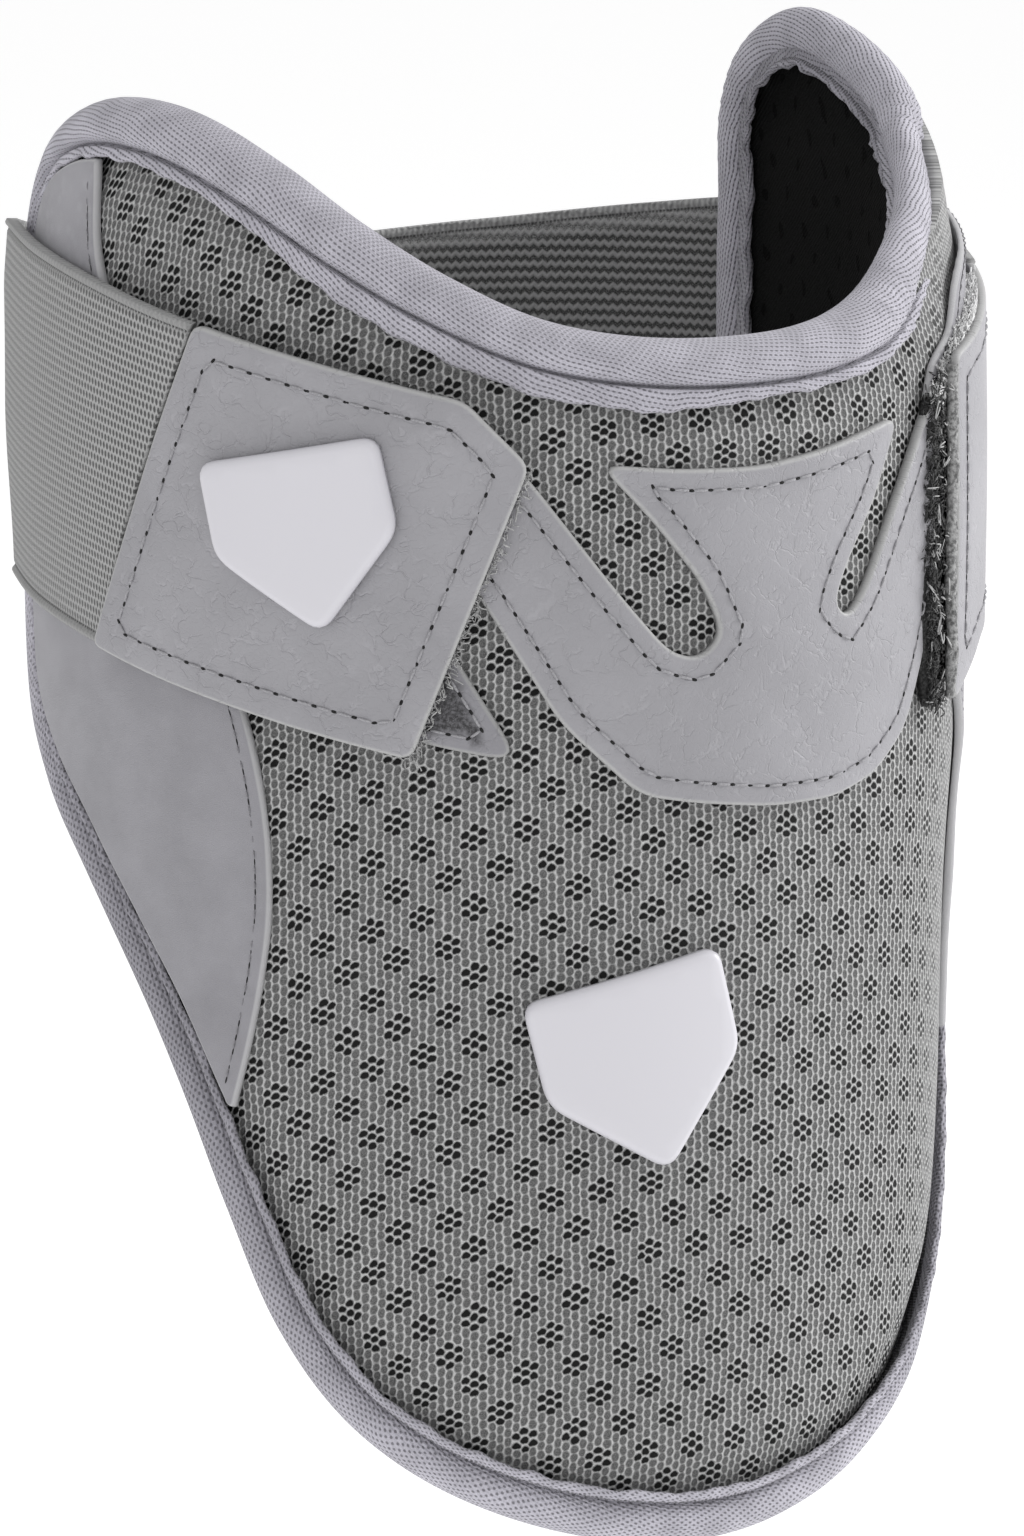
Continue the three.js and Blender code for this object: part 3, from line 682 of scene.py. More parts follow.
def knit_material():
    """Warp knit of the binding: rows of fine dashes above, and small eyes on the flanks. Painted shade darkens
    it along its crease lines, on its left flank and low on its right, and painted light lifts its lower part.
    """
    g = Graph("binding_knit")
    # The low level is set a little lighter than the top one, as painted light on the binding's lower part.
    top, low, tint = 188, 192, 0.09
    u, v, place = g.chart()
    lower = g.attribute("low")
    slant = v + u * 0.2 + g.noise(place, 0.07) * 3.0
    fibre = g.noise(place, 4.5, 3, 0.7)
    fray = fibre * 0.5
    du, dv, _, _ = nearest(u, slant, 0.78, 1.32)
    dash = g.ramp(oval(du, dv, 0.26, 0.12) + fray, 1.6, 0.8)
    du, dv, _, _ = nearest(u, slant, 1.24, 0.82)
    eye = g.ramp(oval(du, dv, 0.25, 0.17) + fray, 1.45, 0.8)
    mark = (eye - dash) * lower + dash
    blotch = g.ramp(fibre, 0.25, 0.75)
    light = g.shades(blotch, top - 18, top + 12, tint)
    dark = g.shades(blotch, low - 14, low + 14, tint)
    cloudy = g.ramp(g.noise(place, 0.16, 3), 0.35, 0.7) * 0.25
    base = g.mix(cloudy, g.mix(lower, light, dark), grey(112, tint))
    # Painted shade: darker on the left flank and low on the right.
    base = g.mix(g.attribute("shade"), base, grey(104, tint))
    base = g.mix(mark * 0.66, base, grey(62, tint))
    # Painted shade along the crease lines and under the roll, broken into dots along the stitching.
    seam = g.ramp(g.attribute("crease"), 0.1, 1.1) * (specks(g, u, 0.6, 0.02, 0.2) * 0.55 + 0.35)
    g.color(g.mix(seam, base, grey(44, tint)))
    rib = (slant * (2 * pi / 0.66)).to("SINE") * 0.4
    g.bump(rib + fibre * 0.35 - mark, 0.2, 0.7)
    g.set("Sheen Weight", 0.15)
    return g.material


def lining_material():
    """Thin dark cloth with rows of slits."""
    g = Graph("lining")
    u, v, place = g.chart()
    fibre = g.noise(place, 3.5, 3, 0.6)
    stray = g.noise(place, 0.13) * 6
    weave = ((u + v) * 9.0).to("SINE") * 0.5
    du, dv, _, _ = nearest(u + stray, v + stray, 6.4, 8.4)
    slit = g.ramp(oval(du, dv, 0.55, 0.95), 1.15, 0.85)
    base = g.shades(g.ramp(fibre, 0.3, 0.7), 8, 29)
    g.color(g.mix(slit, base, grey(1)))
    g.bump(weave + fibre - slit * 4, 0.25, 0.6)
    g.set("Specular IOR Level", 0.12)
    return g.material


def nap_material():
    """Soft short pile with patches that lie different ways, pebbles near the top, and a paler rim: a pale cut
    edge with a painted highlight along it.
    """
    g = Graph("loop_pile")
    level, tint = 147, 0.06
    u, v, place = g.chart()
    fine = g.noise(place, 6.0, 4, 0.7)
    patch = g.noise(place, 0.12, 3, 0.55)
    base = g.shades(g.ramp(fine * 0.45 + patch * 0.55, 0.3, 0.7), level - 7, level + 7, tint)
    pebble = g.ramp(g.voronoi(place, 0.5), 0.55, 0.1) * (g.ramp(v, 5, 25) * 0.16)
    base = g.mix(pebble, base, grey(level + 34, tint))
    # The rim is painted paler: a pale cut edge, with a painted highlight along it.
    g.color(g.mix(g.ramp(g.attribute("depth"), 0.5, 0.2), base, grey(level + 34, 0.02)))
    g.bump(fine + pebble, 0.25, 0.5)
    g.set("Sheen Weight", 0.25)
    return g.material


def leather_material(name, level, tint, pile=None):
    """Synthetic leather: fine wrinkles, painted lighter as a painted highlight, over a soft grain, a pale cut
    edge, and maybe pile within the seam.
    """
    g = Graph(name)
    u, v, place = g.chart()
    bend = g.noise(place, 0.3, 2)
    stray = g.noise(place, 1.1, 2)
    warped = g.vector(u + (bend * 7 + stray * 1.6), v + (bend * 5 - stray * 1.3))
    crease = g.ramp(g.voronoi(warped, 0.34, "DISTANCE_TO_EDGE"), 0.08, 0.0)
    crease = crease * g.ramp(g.noise(place, 0.3, 1), 0.38, 0.6)
    small = g.ramp(g.voronoi(warped, 0.85, "DISTANCE_TO_EDGE"), 0.1, 0.0)
    pore = g.noise(place, 3.2, 3, 0.6)
    wash = g.ramp(g.noise(place, 0.06, 2), 0.3, 0.7)
    base = g.shades(wash, level - 4, level + 4, tint)
    base = g.mix(g.ramp(pore, 0.4, 0.75) * 0.12, base, grey(level + 12, tint))
    # Painted highlight: the wrinkle lines are painted lighter.
    base = g.mix((crease * 1.5 + small * 0.3) * 0.09, base, grey(level + 40, tint))
    if pile:
        blotch = g.ramp(g.noise(place, 2.0, 4, 0.75), 0.35, 0.7)
        loops = g.shades(blotch, pile - 34, pile + 26, tint)
        base = g.mix(g.attribute("within"), base, loops)
    g.color(g.mix(g.ramp(g.attribute("depth"), 0.62, 0.15), base, grey(level + 22)))
    g.bump(pore * 0.16 - crease * 0.65 - small * 0.15, 0.22, 0.7)
    g.set("Roughness", 0.47)
    g.set("Specular IOR Level", 0.35)
    return g.material


def elastic_material():
    """Woven elastic: outside rows of dark upright slits, inside thick twisted cords side by side."""
    g = Graph("elastic")
    u, v, place = g.chart()
    inner, selvedge = g.attribute("inner"), g.attribute("selvedge")
    fibre = g.noise(place, 5.0, 3, 0.65)
    across = v + g.attribute("fall")
    from_end = u.to("MINIMUM", 360 * ARC - u)
    stretched = g.ramp(from_end, 118, 84)
    du, dv, _, _ = nearest(u, across, 0.66, 2.2)
    slit = g.ramp(oval(du, dv, 0.2, 0.46) + fibre * 0.4, 1.45, 0.85) * (stretched * 0.56 + 0.22)
    row = ripple(across, 1.1)
    outside = g.shades(g.ramp(fibre, 0.3, 0.7), 142, 176)
    outside = g.mix(row * 0.36, outside, grey(96))
    outside = g.mix(stretched * 0.45, outside, grey(184))
    outside = g.mix(slit, outside, grey(40))
    cord = ripple(v + u.to("PINGPONG", 0.6) * 0.8, 1.5)
    within = g.shades(g.ramp(cord, 0.15, 0.8), 58, 146)
    within = g.mix(g.ramp(fibre, 0.4, 0.75) * 0.35, within, grey(170))
    fuzzy = g.ramp(g.attribute("rim"), 0.085, 0.05) * g.ramp(fibre, 0.2, 0.7)
    within = g.mix(fuzzy * 0.6, within, grey(178))
    rib = ripple(u, 0.8) * (inner * 0.7 + 0.3)
    body = g.mix(selvedge, g.mix(inner, outside, within), g.shades(rib, 148, 176))
    groove = g.attribute("groove") * (specks(g, u, 0.5, 0.03, 0.18) * 0.6 + 0.25)
    g.color(g.mix(groove, body, grey(46)))
    height_out = fibre * 0.4 + row * -0.5 - slit
    height_in = cord * 2.4 + fibre * 0.5
    g.bump((height_in - height_out) * inner + height_out + rib * selvedge * 0.8, 0.3, 0.7)
    return g.material


def plain_material(name, level, roughness, tint=0.0, scale=3.0, spread=8, relief=0.1, specular=0.3):
    """One colour that varies by spread either way, with fine relief in millimetres."""
    g = Graph(name)
    fine = g.noise(g.object_mm(), scale, 3, 0.6)
    g.color(g.shades(g.ramp(fine, 0.3, 0.7), level - spread, level + spread, tint))
    g.bump(fine, relief, 0.5)
    g.set("Roughness", roughness)
    g.set("Specular IOR Level", specular)
    return g.material


spacer = spacer_mesh_material()
knit = knit_material()
lining_cloth = lining_material()
nap = nap_material()
leather = leather_material("synthetic_leather", 151, 0.05)
patch_cloth = leather_material("patch_pile", 136, 0.06, pile=80)
elastic = elastic_material()
thread = plain_material("thread", 154, 0.6, 0.04, 5.0, 16)
fine_thread = plain_material("fine_thread", 128, 0.7, 0.05, 5.0, 18)
pale_fibre = plain_material("pale_fibre", 176, 0.6, 0, 4.0, 14)
# Painted light: the fringe's fibres are set lighter than the panel's pile, to stay pale in the tab's shadow.
lightened_pile_fibre = plain_material("lightened_pile_fibre", 224, 0.7, 0, 4.0, 12)
raw_edge = plain_material("raw_edge", 130, 0.9, 0, 1.6, 40, 0.6)
needle_hole = plain_material("needle_hole", 38, 0.9)
hook_cloth = plain_material("hook_tape", 46, 0.9, 0, 2.5, 22, 0.6)
bristle = plain_material("hook_bristle", 66, 0.6, 0, 2.0, 26)
badge_rubber = plain_material("badge_rubber", 208, 0.34, 0.05, 0.4, 0, 0.001, 0.5)


# The padded cover and its lining.
def relaxed_grid(bottom, top, left, right):
    """Even grid of points between four chart lines."""
    columns, rows = len(bottom), len(left)
    u = np.linspace(0, 1, columns)[None, :, None]
    v = np.linspace(0, 1, rows)[:, None, None]
    grid = (
        (1 - v) * bottom[None] + v * top[None] + (1 - u) * left[:, None] + u * right[:, None]
        - (1 - u) * (1 - v) * bottom[0] - u * (1 - v) * bottom[-1]
        - (1 - u) * v * top[0] - u * v * top[-1]
    )
    rounds = 1500
    for _ in range(rounds):
        grid[1:-1, 1:-1] = (grid[:-2, 1:-1] + grid[2:, 1:-1] + grid[1:-1, :-2] + grid[1:-1, 2:]) / 4
    return grid.reshape(-1, 2)


def pad_chart():
    """Chart points, faces and edge distances of the shell."""
    count = STATIONS // PAD_STRIDE
    ear, flank = EAR_ROW * PER // PAD_STRIDE, FLANK_ROW * PER // PAD_STRIDE
    bottom_left, top_left = count - flank, count - ear

    def run(a, b):
        way = 1 if b > a else -1
        return moved_out(np.arange(a, b + way, way) * PAD_STRIDE, -PINCH)

    bottom, right = run(bottom_left, flank), run(flank, ear)
    top, left = run(-ear, ear), run(bottom_left, top_left)
    points = relaxed_grid(bottom, top, left, right)
    faces = grid_faces(len(bottom) - 1, len(right) - 1)
    grid = np.arange(len(points)).reshape(len(right), len(bottom))
    middle = len(bottom) // 2
    right_top, left_top = grid[-1, middle:-1], grid[-1, :middle]
    previous = np.concatenate([right_top, grid[:0:-1, -1], grid[0, :0:-1], grid[:-1, 0], left_top])
    depth = np.full(len(points), PINCH)
    for distance in (8.2, 6.6, 5.0, 3.4, 1.8, GAP):
        ring = np.arange(count) + len(points)
        points = np.vstack([points, moved_out(np.arange(count) * PAD_STRIDE, -distance)])
        depth = np.concatenate([depth, np.full(count, distance)])
        faces.extend(zip(ring, previous, np.roll(previous, -1), np.roll(ring, -1)))
        previous = ring
    return points, faces, depth


pad_points, pad_faces, pad_depth = pad_chart()
pad_squeeze = edge_effect(pad_points, SQUEEZE, SQUEEZE_REACH)
pad_full = np.clip((pad_depth - GAP) / (PINCH - GAP), 0, 1)


def wave(points, scale, seed):
    """Smooth bumps between -1 and 1."""
    local = np.random.default_rng(seed)
    total = np.zeros(len(points))
    count = 6
    for _ in range(count):
        angle = local.uniform(0, 2 * pi)
        rate = local.uniform(0.6, 1.5) * 2 * pi / scale
        phase = local.uniform(0, 2 * pi)
        total += np.sin(points @ np.array([cos(angle), sin(angle)]) * rate + phase)
    return total * 2 / count


def pad_layer(name, edge_in, thickness, full_in, full_out, material):
    """A layer of the pad, whose two faces run from the pinched edge to their full depth."""
    outer = edge_in * (1 - pad_full) + full_out
    inner = (edge_in - thickness) * (1 - pad_full) + full_in
    return closed_solid(name, pad_points, pad_faces, outer, inner, on_guard, material)


def make_cover():
    swell = 0.1 * wave(pad_points, 34, 1) * pad_full
    back = (pad_squeeze - COVER) * pad_full
    piece = pad_layer("cover_fabric", EDGE_OUTER, EDGE_COVER, back, swell, spacer)
    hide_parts("mesh_cover")


def make_lining():
    swell = 0.12 * wave(pad_points, 28, 2) * pad_full
    front = (pad_squeeze - COVER - GAP) * pad_full
    back = (pad_squeeze - PAD) * pad_full + swell
    start = EDGE_OUTER - EDGE_COVER - GAP
    piece = pad_layer("lining_fabric", start, EDGE_LINING, back, front, lining_cloth)
    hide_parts("inner_lining")


# The binding.
def upper_share(rise):
    """1 above the strap and 0 below it."""
    return float(step(rise, 0.6, 0.78))


def hem_width(turn, rise):
    """Width of the outer hem: a narrow ridge, and a flat band along the left of the front."""
    flat = step(turn, -66, -46) * (1 - step(turn, -14, 4)) * upper_share(rise)
    return float(1.5 + 1.6 * flat)


def roll_ellipse(rise):
    """Size share, half width and middle of the roll's section."""
    size = smooth(ROLL, rise)
    return size, (ROLL_REACH + ROLL_DEPTH) / 2 * size, (ROLL_REACH - ROLL_DEPTH) / 2 * size


def binding_section(station, ruffle, tuck):
    """Section round the edge as (outward, up) pairs, with a mark of painted crease shade for each."""
    turn, rise = place_of(station)
    size, half_width, centre = roll_ellipse(rise)
    half_width *= 1 - 0.16 * float(step(turn, 14, 40) * (1 - step(rise, 0.35, 0.45)))
    squeeze = squeeze_marks[station]
    ear, upper = min(squeeze / 2, 1), upper_share(rise)
    outer = ROLL_PROUD * size * (1 - 0.2 * min(pull_marks[station], 3))
    inner = -PAD - ROLL_PROUD * size * (1 - 0.3 * ear) + squeeze * 1.1
    middle, half_height = (outer + inner) / 2, (outer - inner) / 2
    roll = []
    for angle in np.radians(np.linspace(CREASE_ANGLE, -CREASE_ANGLE, ROLL_SAMPLES)):
        x = centre + half_width * cos(angle)
        y = sin(angle)
        if x < 0:
            x *= 1 - (0.3 * ear if y < 0 else UPPER_TUCK * upper)
        roll.append((x, middle + half_height * y))
    crease, inner_crease = -roll[0][0], -roll[-1][0]
    hem = hem_width(turn, rise) + ruffle
    top = []
    for share in np.linspace(1, 0, 9):
        ridge = exp(-((((1 - share) * hem - 0.6) / 0.42) ** 2))
        height = 0.5 + 0.15 * min(share * 3, 1) + (0.6 - 0.3 * upper) * ridge + tuck * share
        top.append((-crease - hem * share, GAP + height - 0.32 * (share == 1)))
    seat = -PAD - GAP + squeeze
    inner_hem = INNER_HEM * size * (1 - 0.25 * ear) + 1.5 * ruffle
    hem_end = -inner_crease - inner_hem
    under = [
        (-inner_crease - 0.3, seat - 0.2),
        (-inner_crease - 0.5 * inner_hem, seat - 0.85),
        (hem_end + 0.4, seat - 1.2 + 2 * tuck),
        (hem_end, seat - 0.5),
        (hem_end + 0.2, seat - 0.1),
        (0, EDGE_OUTER - EDGE_COVER - 2 * GAP - EDGE_LINING),
        (0, EDGE_OUTER + GAP),
        (-crease - hem + 0.2, GAP + 0.05),
    ]
    wide = min(max((hem - 1.6) / 1.4, 0), 1)
    sharp = 1 - 0.5 * upper - 0.2 * wide
    # Painted shade: the crease lines beside the roll, its inner hem and the seam lines beside the hem are
    # marked to be painted darker.
    roll_marks = [sharp, 0.3] + [0.0] * (len(roll) - 4) + [0.6, 1.0]
    under_marks = [1.0] + [0.2 + 0.3 * ear] * (len(under) - 2) + [0.6 - 0.6 * upper]
    top_marks = [0.8 * (1 - upper)] + [0.0] * (len(top) - 3) + [0.5 * sharp, sharp]
    return np.array(roll + under + top), np.array(roll_marks + under_marks + top_marks)


def place_of(station):
    return edge[station][0] / ARC, float(rise_of(edge[station][1]))


def make_binding():
    along = along_line(np.vstack([edge, edge[:1]]))
    at = along[:-1]
    ruffle = 0.16 * np.sin(at * 0.63 + 2 * np.sin(at * 0.11)) + 0.1 * np.sin(at * 1.37 + np.sin(at * 0.2))
    tuck = 0.1 * np.sin(at * 0.81 + 0.6) + 0.07 * np.sin(at * 1.7)
    rings, uvs = [], []
    marks = {"low": [], "crease": [], "shade": []}
    for i in range(STATIONS + 1):
        k = i % STATIONS
        turn, rise = place_of(k)
        section, crease_shades = binding_section(k, ruffle[k], tuck[k])
        flat = edge[k] + outward[k] * section[:, :1]
        ring = polar(flat[:, 0], guard_radius(flat) + section[:, 1] - pull_marks[k], flat[:, 1])
        rings.append(np.vstack([ring, ring[:1]]))
        plain, _ = binding_section(k, 0, 0)
        v = along_line(np.vstack([plain, plain[:1]]))
        uvs.append(np.stack([np.full(len(v), along[i]), v - v[ROLL_SAMPLES // 2]], 1) / UV_UNIT)
        # Painted shade: the binding is painted darker on its left flank and low on its right, where less light
        # falls.
        left = 0.55 * exp(-(((turn + 80) / 26) ** 2)) * float(1 - step(rise, 0.5, 0.62))
        right = 0.4 * float(step(turn, 20, 45) * (1 - step(rise, 0.3, 0.4)))
        marks["low"].append(np.full(len(v), float(step(rise, 0.8, 0.45))))
        marks["crease"].append(np.append(crease_shades, crease_shades[0]))
        marks["shade"].append(np.full(len(v), left + right))
    faces = grid_faces(len(rings[0]) - 1, STATIONS)
    piece = build("binding_roll", np.vstack(rings), faces, np.vstack(uvs), [knit])
    add_marks(piece, {name: np.concatenate(values) for name, values in marks.items()})
    weld = piece.modifiers.new("weld", "WELD")
    weld.merge_threshold = 0.00001
    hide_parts("edge_binding")


pull_marks = edge_effect(edge, PULL, PULL_REACH)
squeeze_marks = edge_effect(edge, SQUEEZE, SQUEEZE_REACH)


# What is sewn to the mesh.
def hem_reach(station):
    """How far in from the edge line the binding's hem ends."""
    turn, rise = place_of(station)
    _, half_width, centre = roll_ellipse(rise)
    crease = -(centre + half_width * cos(radians(CREASE_ANGLE)))
    return crease * (1 - UPPER_TUCK * upper_share(rise)) + hem_width(turn, rise)


def panel_lines(side):
    """Front edge and rear edge of a side panel, from its lower tip up."""
    stations = np.arange(int(PANEL_LOW * PER), int(PANEL_HIGH * PER) - 1, -1) * side
    rear = np.array([moved_out(i, -hem_reach(i % STATIONS) - 0.15) for i in stations])
    beside = np.array([side * 1.2, 0])
    rows = RIGHT_PANEL_FRONT if side > 0 else PANEL_FRONT
    middle = [np.array([side * t * ARC, height_of(r)]) for t, r in rows]
    return catmull([rear[0] - beside] + middle + [rear[-1] - beside], 8, closed=False), rear


def sewn_sheet(outline):
    """Works out the area, in square metres, of a piece that is cut flat and sewn to the cover; the result is
    not used.
    """
    cut = abs(area_of(outline)) / 1e6


def make_panel(side):
    word = "right" if side > 0 else "left"
    front, rear = panel_lines(side)
    outline = np.vstack([front, rear[::-1]])
    seam = 2.1
    swell = lambda points: 0.1 * wave(points, 22, 5)

    def relief(points):
        near = distance_to(points, front, closed=False)
        lip = 0.28 * (1 - (side > 0) * step(rise_of(points[:, 1]), 0.6, 0.7))
        return lip * step(near, 0.95, 0.6) - 0.1 * step(near, seam + 0.6, seam) + swell(points)

    piece = plate(f"{word}_panel_pile", outline, SEWN_IN, PANEL_OUT, nap, rim=0.6, pitch=1.6,
                  relief=relief)
    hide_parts(f"{word}_grip_panel")
    sewn_sheet(outline)
    line = front + np.array([side * seam, 0])
    line = line[distance_to(line, rear, closed=False) > 1.6]
    stitches(f"{word}_panel_stitches", line, lambda points: PANEL_OUT - 0.1 + swell(points), fine_thread,
             pitch=2.0, length=1.3, radius=0.11, closed=False)


def soft_plate(name, node, corners, radius, low, high, material, seam, wavy=0.1):
    """A thin plate with a stitched border: corners in the chart, seam the stitches' inset."""
    corners = turned(corners)
    outline = rounded(corners, radius)
    line = rounded(inset(corners, seam), max(radius * 0.6, 0.8))
    swell = lambda points: wavy * wave(points, 30, len(name))
    groove = lambda points: 0.14 * np.exp(-((distance_to(points, line) / 0.55) ** 2))
    piece = plate(name, outline, low, high, material, pitch=1.3, seam=line,
                  relief=lambda points: swell(points) - groove(points))
    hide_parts(node)
    sewn_sheet(outline)
    stitches(name + "_stitches", line, lambda points: high - 0.1 + swell(points), thread)


# The strap, its tabs and their hooks.
def make_elastic():
    columns = 420
    side = [0, 0.004, 0.01, 0.016, 0.021, 0.026, 0.034, 0.045]
    shares = np.concatenate([side, np.linspace(0.08, 0.92, 24), 1 - np.array(side[::-1])])
    near = np.minimum(shares, 1 - shares)
    rolls = 0.3 * np.exp(-(((near - 0.011) / 0.009) ** 2)) - 0.22 * np.exp(-(((near - 0.026) / 0.006) ** 2))
    rows = []
    for share in shares:
        joint = JOINT_BOTTOM + (JOINT_TOP - JOINT_BOTTOM) * share
        turns = np.linspace(joint, 360 - joint, columns + 1)
        rows.append(strap_chart(np.stack([turns, np.full(columns + 1, share - 0.5)], 1)))
    points = np.vstack(rows)
    each = lambda values: np.repeat(np.asarray(values, float), columns + 1)
    both = lambda values: np.tile(values, 2)
    swell = 0.1 * wave(points, 40, 9)
    outer = STRAP + each(rolls) + swell
    inner = np.maximum(each(rolls) * -0.6 + swell, -0.2)
    faces = grid_faces(columns, len(shares) - 1)
    piece = closed_solid("elastic_band", points, faces, outer, inner, on_strap, elastic)
    add_marks(piece, {
        "inner": np.repeat([0, 1], len(points)),
        "selvedge": both(each(near < 0.022)),
        "groove": both(each(abs(near - 0.026) < 0.003)),
        "fall": both(each((shares - 0.5) * STRAP_WIDTH) - points[:, 1]),
        "rim": both(each(near)),
    })
    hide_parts("elastic_strap")


def strap_line(rows, per):
    return catmull(strap_chart(rows), per, closed=False)


def bristles(name, line, levels, count, seed, material, curl=0.35):
    """Short bent fibres that stand out along a chart line."""
    local = np.random.default_rng(seed)
    low, high = levels
    marks = resample(line, 0.2, closed=False)
    flats, lifts, sizes = [], [], []
    t = np.linspace(0, 1, 6)[:, None]
    for _ in range(count):
        start = marks[local.integers(0, len(marks))] + local.normal(0, 0.3, 2)
        lean = local.normal(0, 0.6, 2)
        bend = local.normal(0, curl, 2)
        flats.append(start + lean * t + bend * np.sin(t * 3.0))
        level = local.uniform(low, high)
        lifts.append(np.clip(level + local.normal(0, 0.4) * np.sin(t[:, 0] * 2.6), low, high))
        sizes.append(local.uniform(0.00005, 0.00011))
    tubes = np.split(on_guard(np.vstack(flats), np.concatenate(lifts)), count)
    tube_piece(name, tubes, sizes, 4, material)


def tube_piece(name, tubes, sizes, sides, material):
    points, faces = sweep(tubes, sizes, sides)
    build(name, points, faces, np.zeros((len(points), 2)), [material])


def make_tab(side):
    gap = GAP / ARC
    joint = [(side * (JOINT_TOP - gap), 0.5), (side * (JOINT_BOTTOM - gap), -0.5)]
    word, corners = ("right", joint[::-1] + RIGHT_TAB) if side > 0 else ("left", joint + LEFT_TAB)
    corners = strap_chart(corners)
    soft_plate(f"{word}_tab_leather", f"{word}_tab", corners, 1.6, TAB_IN, TAB_OUT, leather,
               3.7, wavy=0.12)
    hook = rounded(inset(corners, 1.2), 1.2)
    piece = plate(f"{word}_hook_tape", hook, PANEL_OUT + GAP - HOOK, HOOK_OUT, hook_cloth, 0.3,
                  relief=lambda points: rng.normal(0, 0.08, len(points)))
    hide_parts(f"{word}_hook_pad")
    bristles(f"{word}_hook_bristles", resample(hook, 0.8), (PANEL_OUT, HOOK_OUT), 900, 20 + side, bristle)


def make_torn_edge():
    """The right tab's front end, where the hook tape shows as a dark hairy band under a raw edge."""
    band = strap_chart([(36.8, 0.46), (31.8, 0.4), (30.8, 0.1), (30.9, -0.3), (33, -0.47), (37, -0.44)])
    plate("right_hook_band", rounded(band, 2), 0.4, HOOK_OUT - HOOK, hook_cloth, pitch=0.9,
          relief=lambda points: rng.normal(0, 0.14, len(points)))
    front = strap_line([(32.4, 0.42), (32, 0.1), (32.2, -0.2), (33, -0.44)], 8)
    back = strap_line([(34.4, 0.46), (34.4, 0.1), (34.4, -0.2), (35, -0.46)], 8)
    both = np.vstack([front, back[::-1]])
    bristles("right_hook_hairs", both, (0.9, TAB_IN + 0.2), 1500, 31, bristle, 0.55)
    bristles("right_hook_curls", both, (1.4, TAB_OUT), 90, 32, pale_fibre, 1.1)
    cut = strap_line([(36.1, 0.48), (35.9, 0.2), (35.8, -0.1), (36.1, -0.45)], 30)
    level = 0.5 * (TAB_IN + TAB_OUT) + 0.12 * wave(cut, 7, 3)
    tube = on_guard(cut - np.array([0.15, 0]), level)
    size = 0.00082 * (1 + 0.14 * wave(cut, 3, 4))
    tube_piece("right_tab_raw_edge", [tube], [size], 12, raw_edge)


def make_pile_fringe():
    """Loop pile that shows between the binding and the right tab's upper edge, painted at a lighter level as
    painted light where it lies in the tab's shadow.
    """
    line = strap_line([(33.5, 0.4), (38, 0.47), (46, 0.5), (62, 0.5)], 10)
    bristles("right_pile_fringe", line, (PANEL_OUT, TAB_IN), 1400, 33, lightened_pile_fibre, 0.5)


def make_stray_hooks():
    """Hook ends that stand out from under the left tab's pointed end."""
    line = catmull(strap_chart([(-27.5, 0.34), (-34, -0.05), (-41, -0.52)]) - [0.35, 0], 20, closed=False)
    bristles("left_hook_hairs", line, (PANEL_OUT, TAB_IN), 300, 34, pale_fibre)


def make_badge(name, node, centre, width, tilt, seat):
    angle = radians(tilt)
    turn = np.array([[cos(angle), sin(angle)], [-sin(angle), cos(angle)]])
    outline = rounded(np.array(BADGE) * width @ turn + centre, 0.09 * width)
    piece = plate(name, outline, seat, seat + 2.0, badge_rubber, rim=1.1, pitch=1.5)
    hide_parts(node)


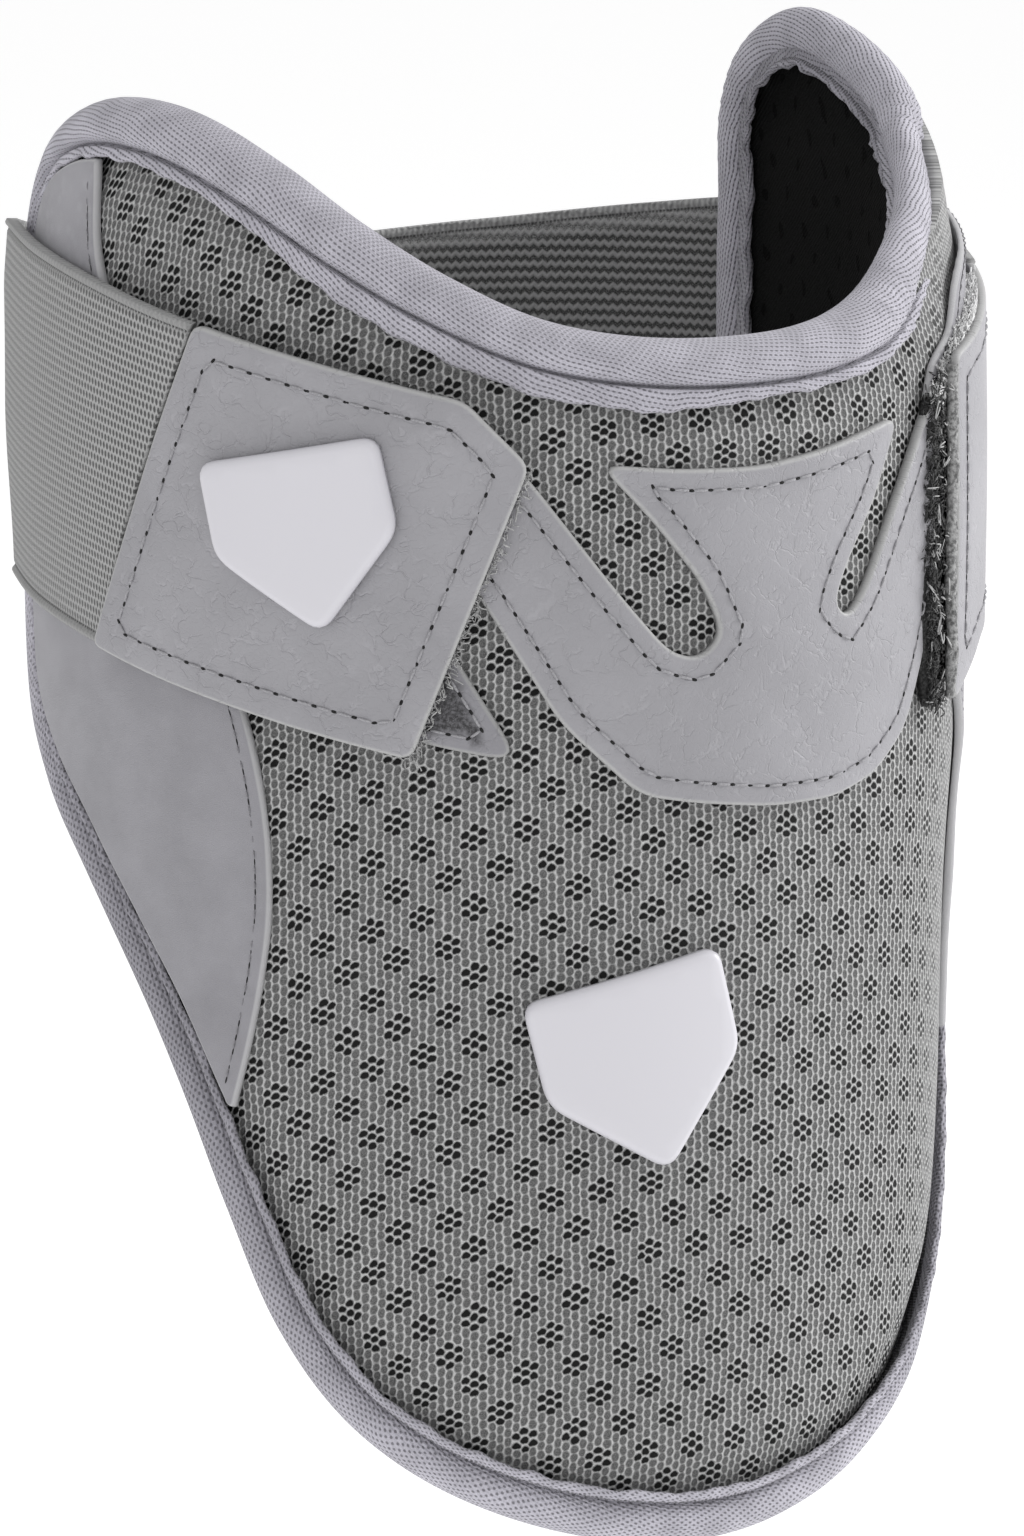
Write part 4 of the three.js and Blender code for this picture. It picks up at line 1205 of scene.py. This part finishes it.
make_cover()
make_lining()
make_binding()
make_panel(-1)
make_panel(1)
soft_plate("overlay_leather", "front_overlay", chart(OVERLAY), 3.0, SEWN_IN, PANEL_OUT + 0.25, leather,
           2.7)
soft_plate("patch_pile", "left_grip_patch", chart(PATCH), 4.6, SEWN_IN, PANEL_OUT + 0.1, patch_cloth,
           2.0)
make_tab(-1)
make_tab(1)
make_torn_edge()
make_pile_fringe()
make_stray_hooks()
make_elastic()
make_badge("front_badge_rubber", "front_badge", chart([(-13.6, 0.33)])[0], 27, 14, SEWN_GAP)
make_badge("tab_badge_rubber", "tab_badge", strap_chart([(-53.5, 0.006)])[0], 24, 12, TAB_OUT + GAP)


# Studio.
def make_floor():
    mesh = bpy.data.meshes.new("studio_floor")
    size, level, glow = 12, -0.34, 0.3
    corners = [(-size, -size, level), (size, -size, level), (size, size, level), (-size, size, level)]
    mesh.from_pydata(corners, [], [(0, 1, 2, 3)])
    floor = added("studio_floor", mesh)
    g = Graph("studio_floor")
    g.color((0.9, 0.9, 0.9, 1))
    g.set("Emission Color", (1, 1, 1, 1))
    g.set("Emission Strength", glow)
    mesh.materials.append(g.material)


def set_up(thing, location, turn):
    thing.location = location
    thing.rotation_mode = "QUATERNION"
    thing.rotation_quaternion = turn


def make_light(name, location, size, energy):
    data = bpy.data.lights.new(name, "AREA")
    data.energy = energy
    data.size = size
    aim = Vector((0, 0, -0.04))
    set_up(added(name, data), location, (Vector(location) - aim).to_track_quat("Z", "Y"))


def make_studio():
    make_floor()
    world = bpy.data.worlds.new("studio")
    scene.world = world
    world.use_nodes = True
    background = world.node_tree.nodes["Background"]
    background.inputs["Color"].default_value = (1, 1, 1, 1)
    background.inputs["Strength"].default_value = 0.74
    make_light("key", (1.7, -0.38, 0.72), 0.8, 22.5)
    make_light("fill", (-1.5, -0.5, 0.1), 1.0, 1.5)
    make_light("top", (0.5, -0.6, 1.5), 0.9, 3)
    scene.view_settings.view_transform = "Standard"
    scene.view_settings.look = "None"


def make_camera():
    azimuth, elevation, distance = radians(32), radians(10), 1.5
    level = cos(elevation)
    back = Vector((-sin(azimuth) * level, -cos(azimuth) * level, sin(elevation)))
    right = Vector((cos(azimuth), -sin(azimuth), 0))
    target = Vector((0, 0, -0.0468)) + right * 0.0024
    focal_pixels, frame_pixels = 11100, 1536
    data = bpy.data.cameras.new("camera")
    data.sensor_width = 36
    data.lens = 36 * focal_pixels / frame_pixels
    data.clip_start, data.clip_end = 0.05, 60
    camera = added("camera", data)
    set_up(camera, target + back * distance, (-back).to_track_quat("-Z", "Y"))
    scene.camera = camera


make_studio()
make_camera()
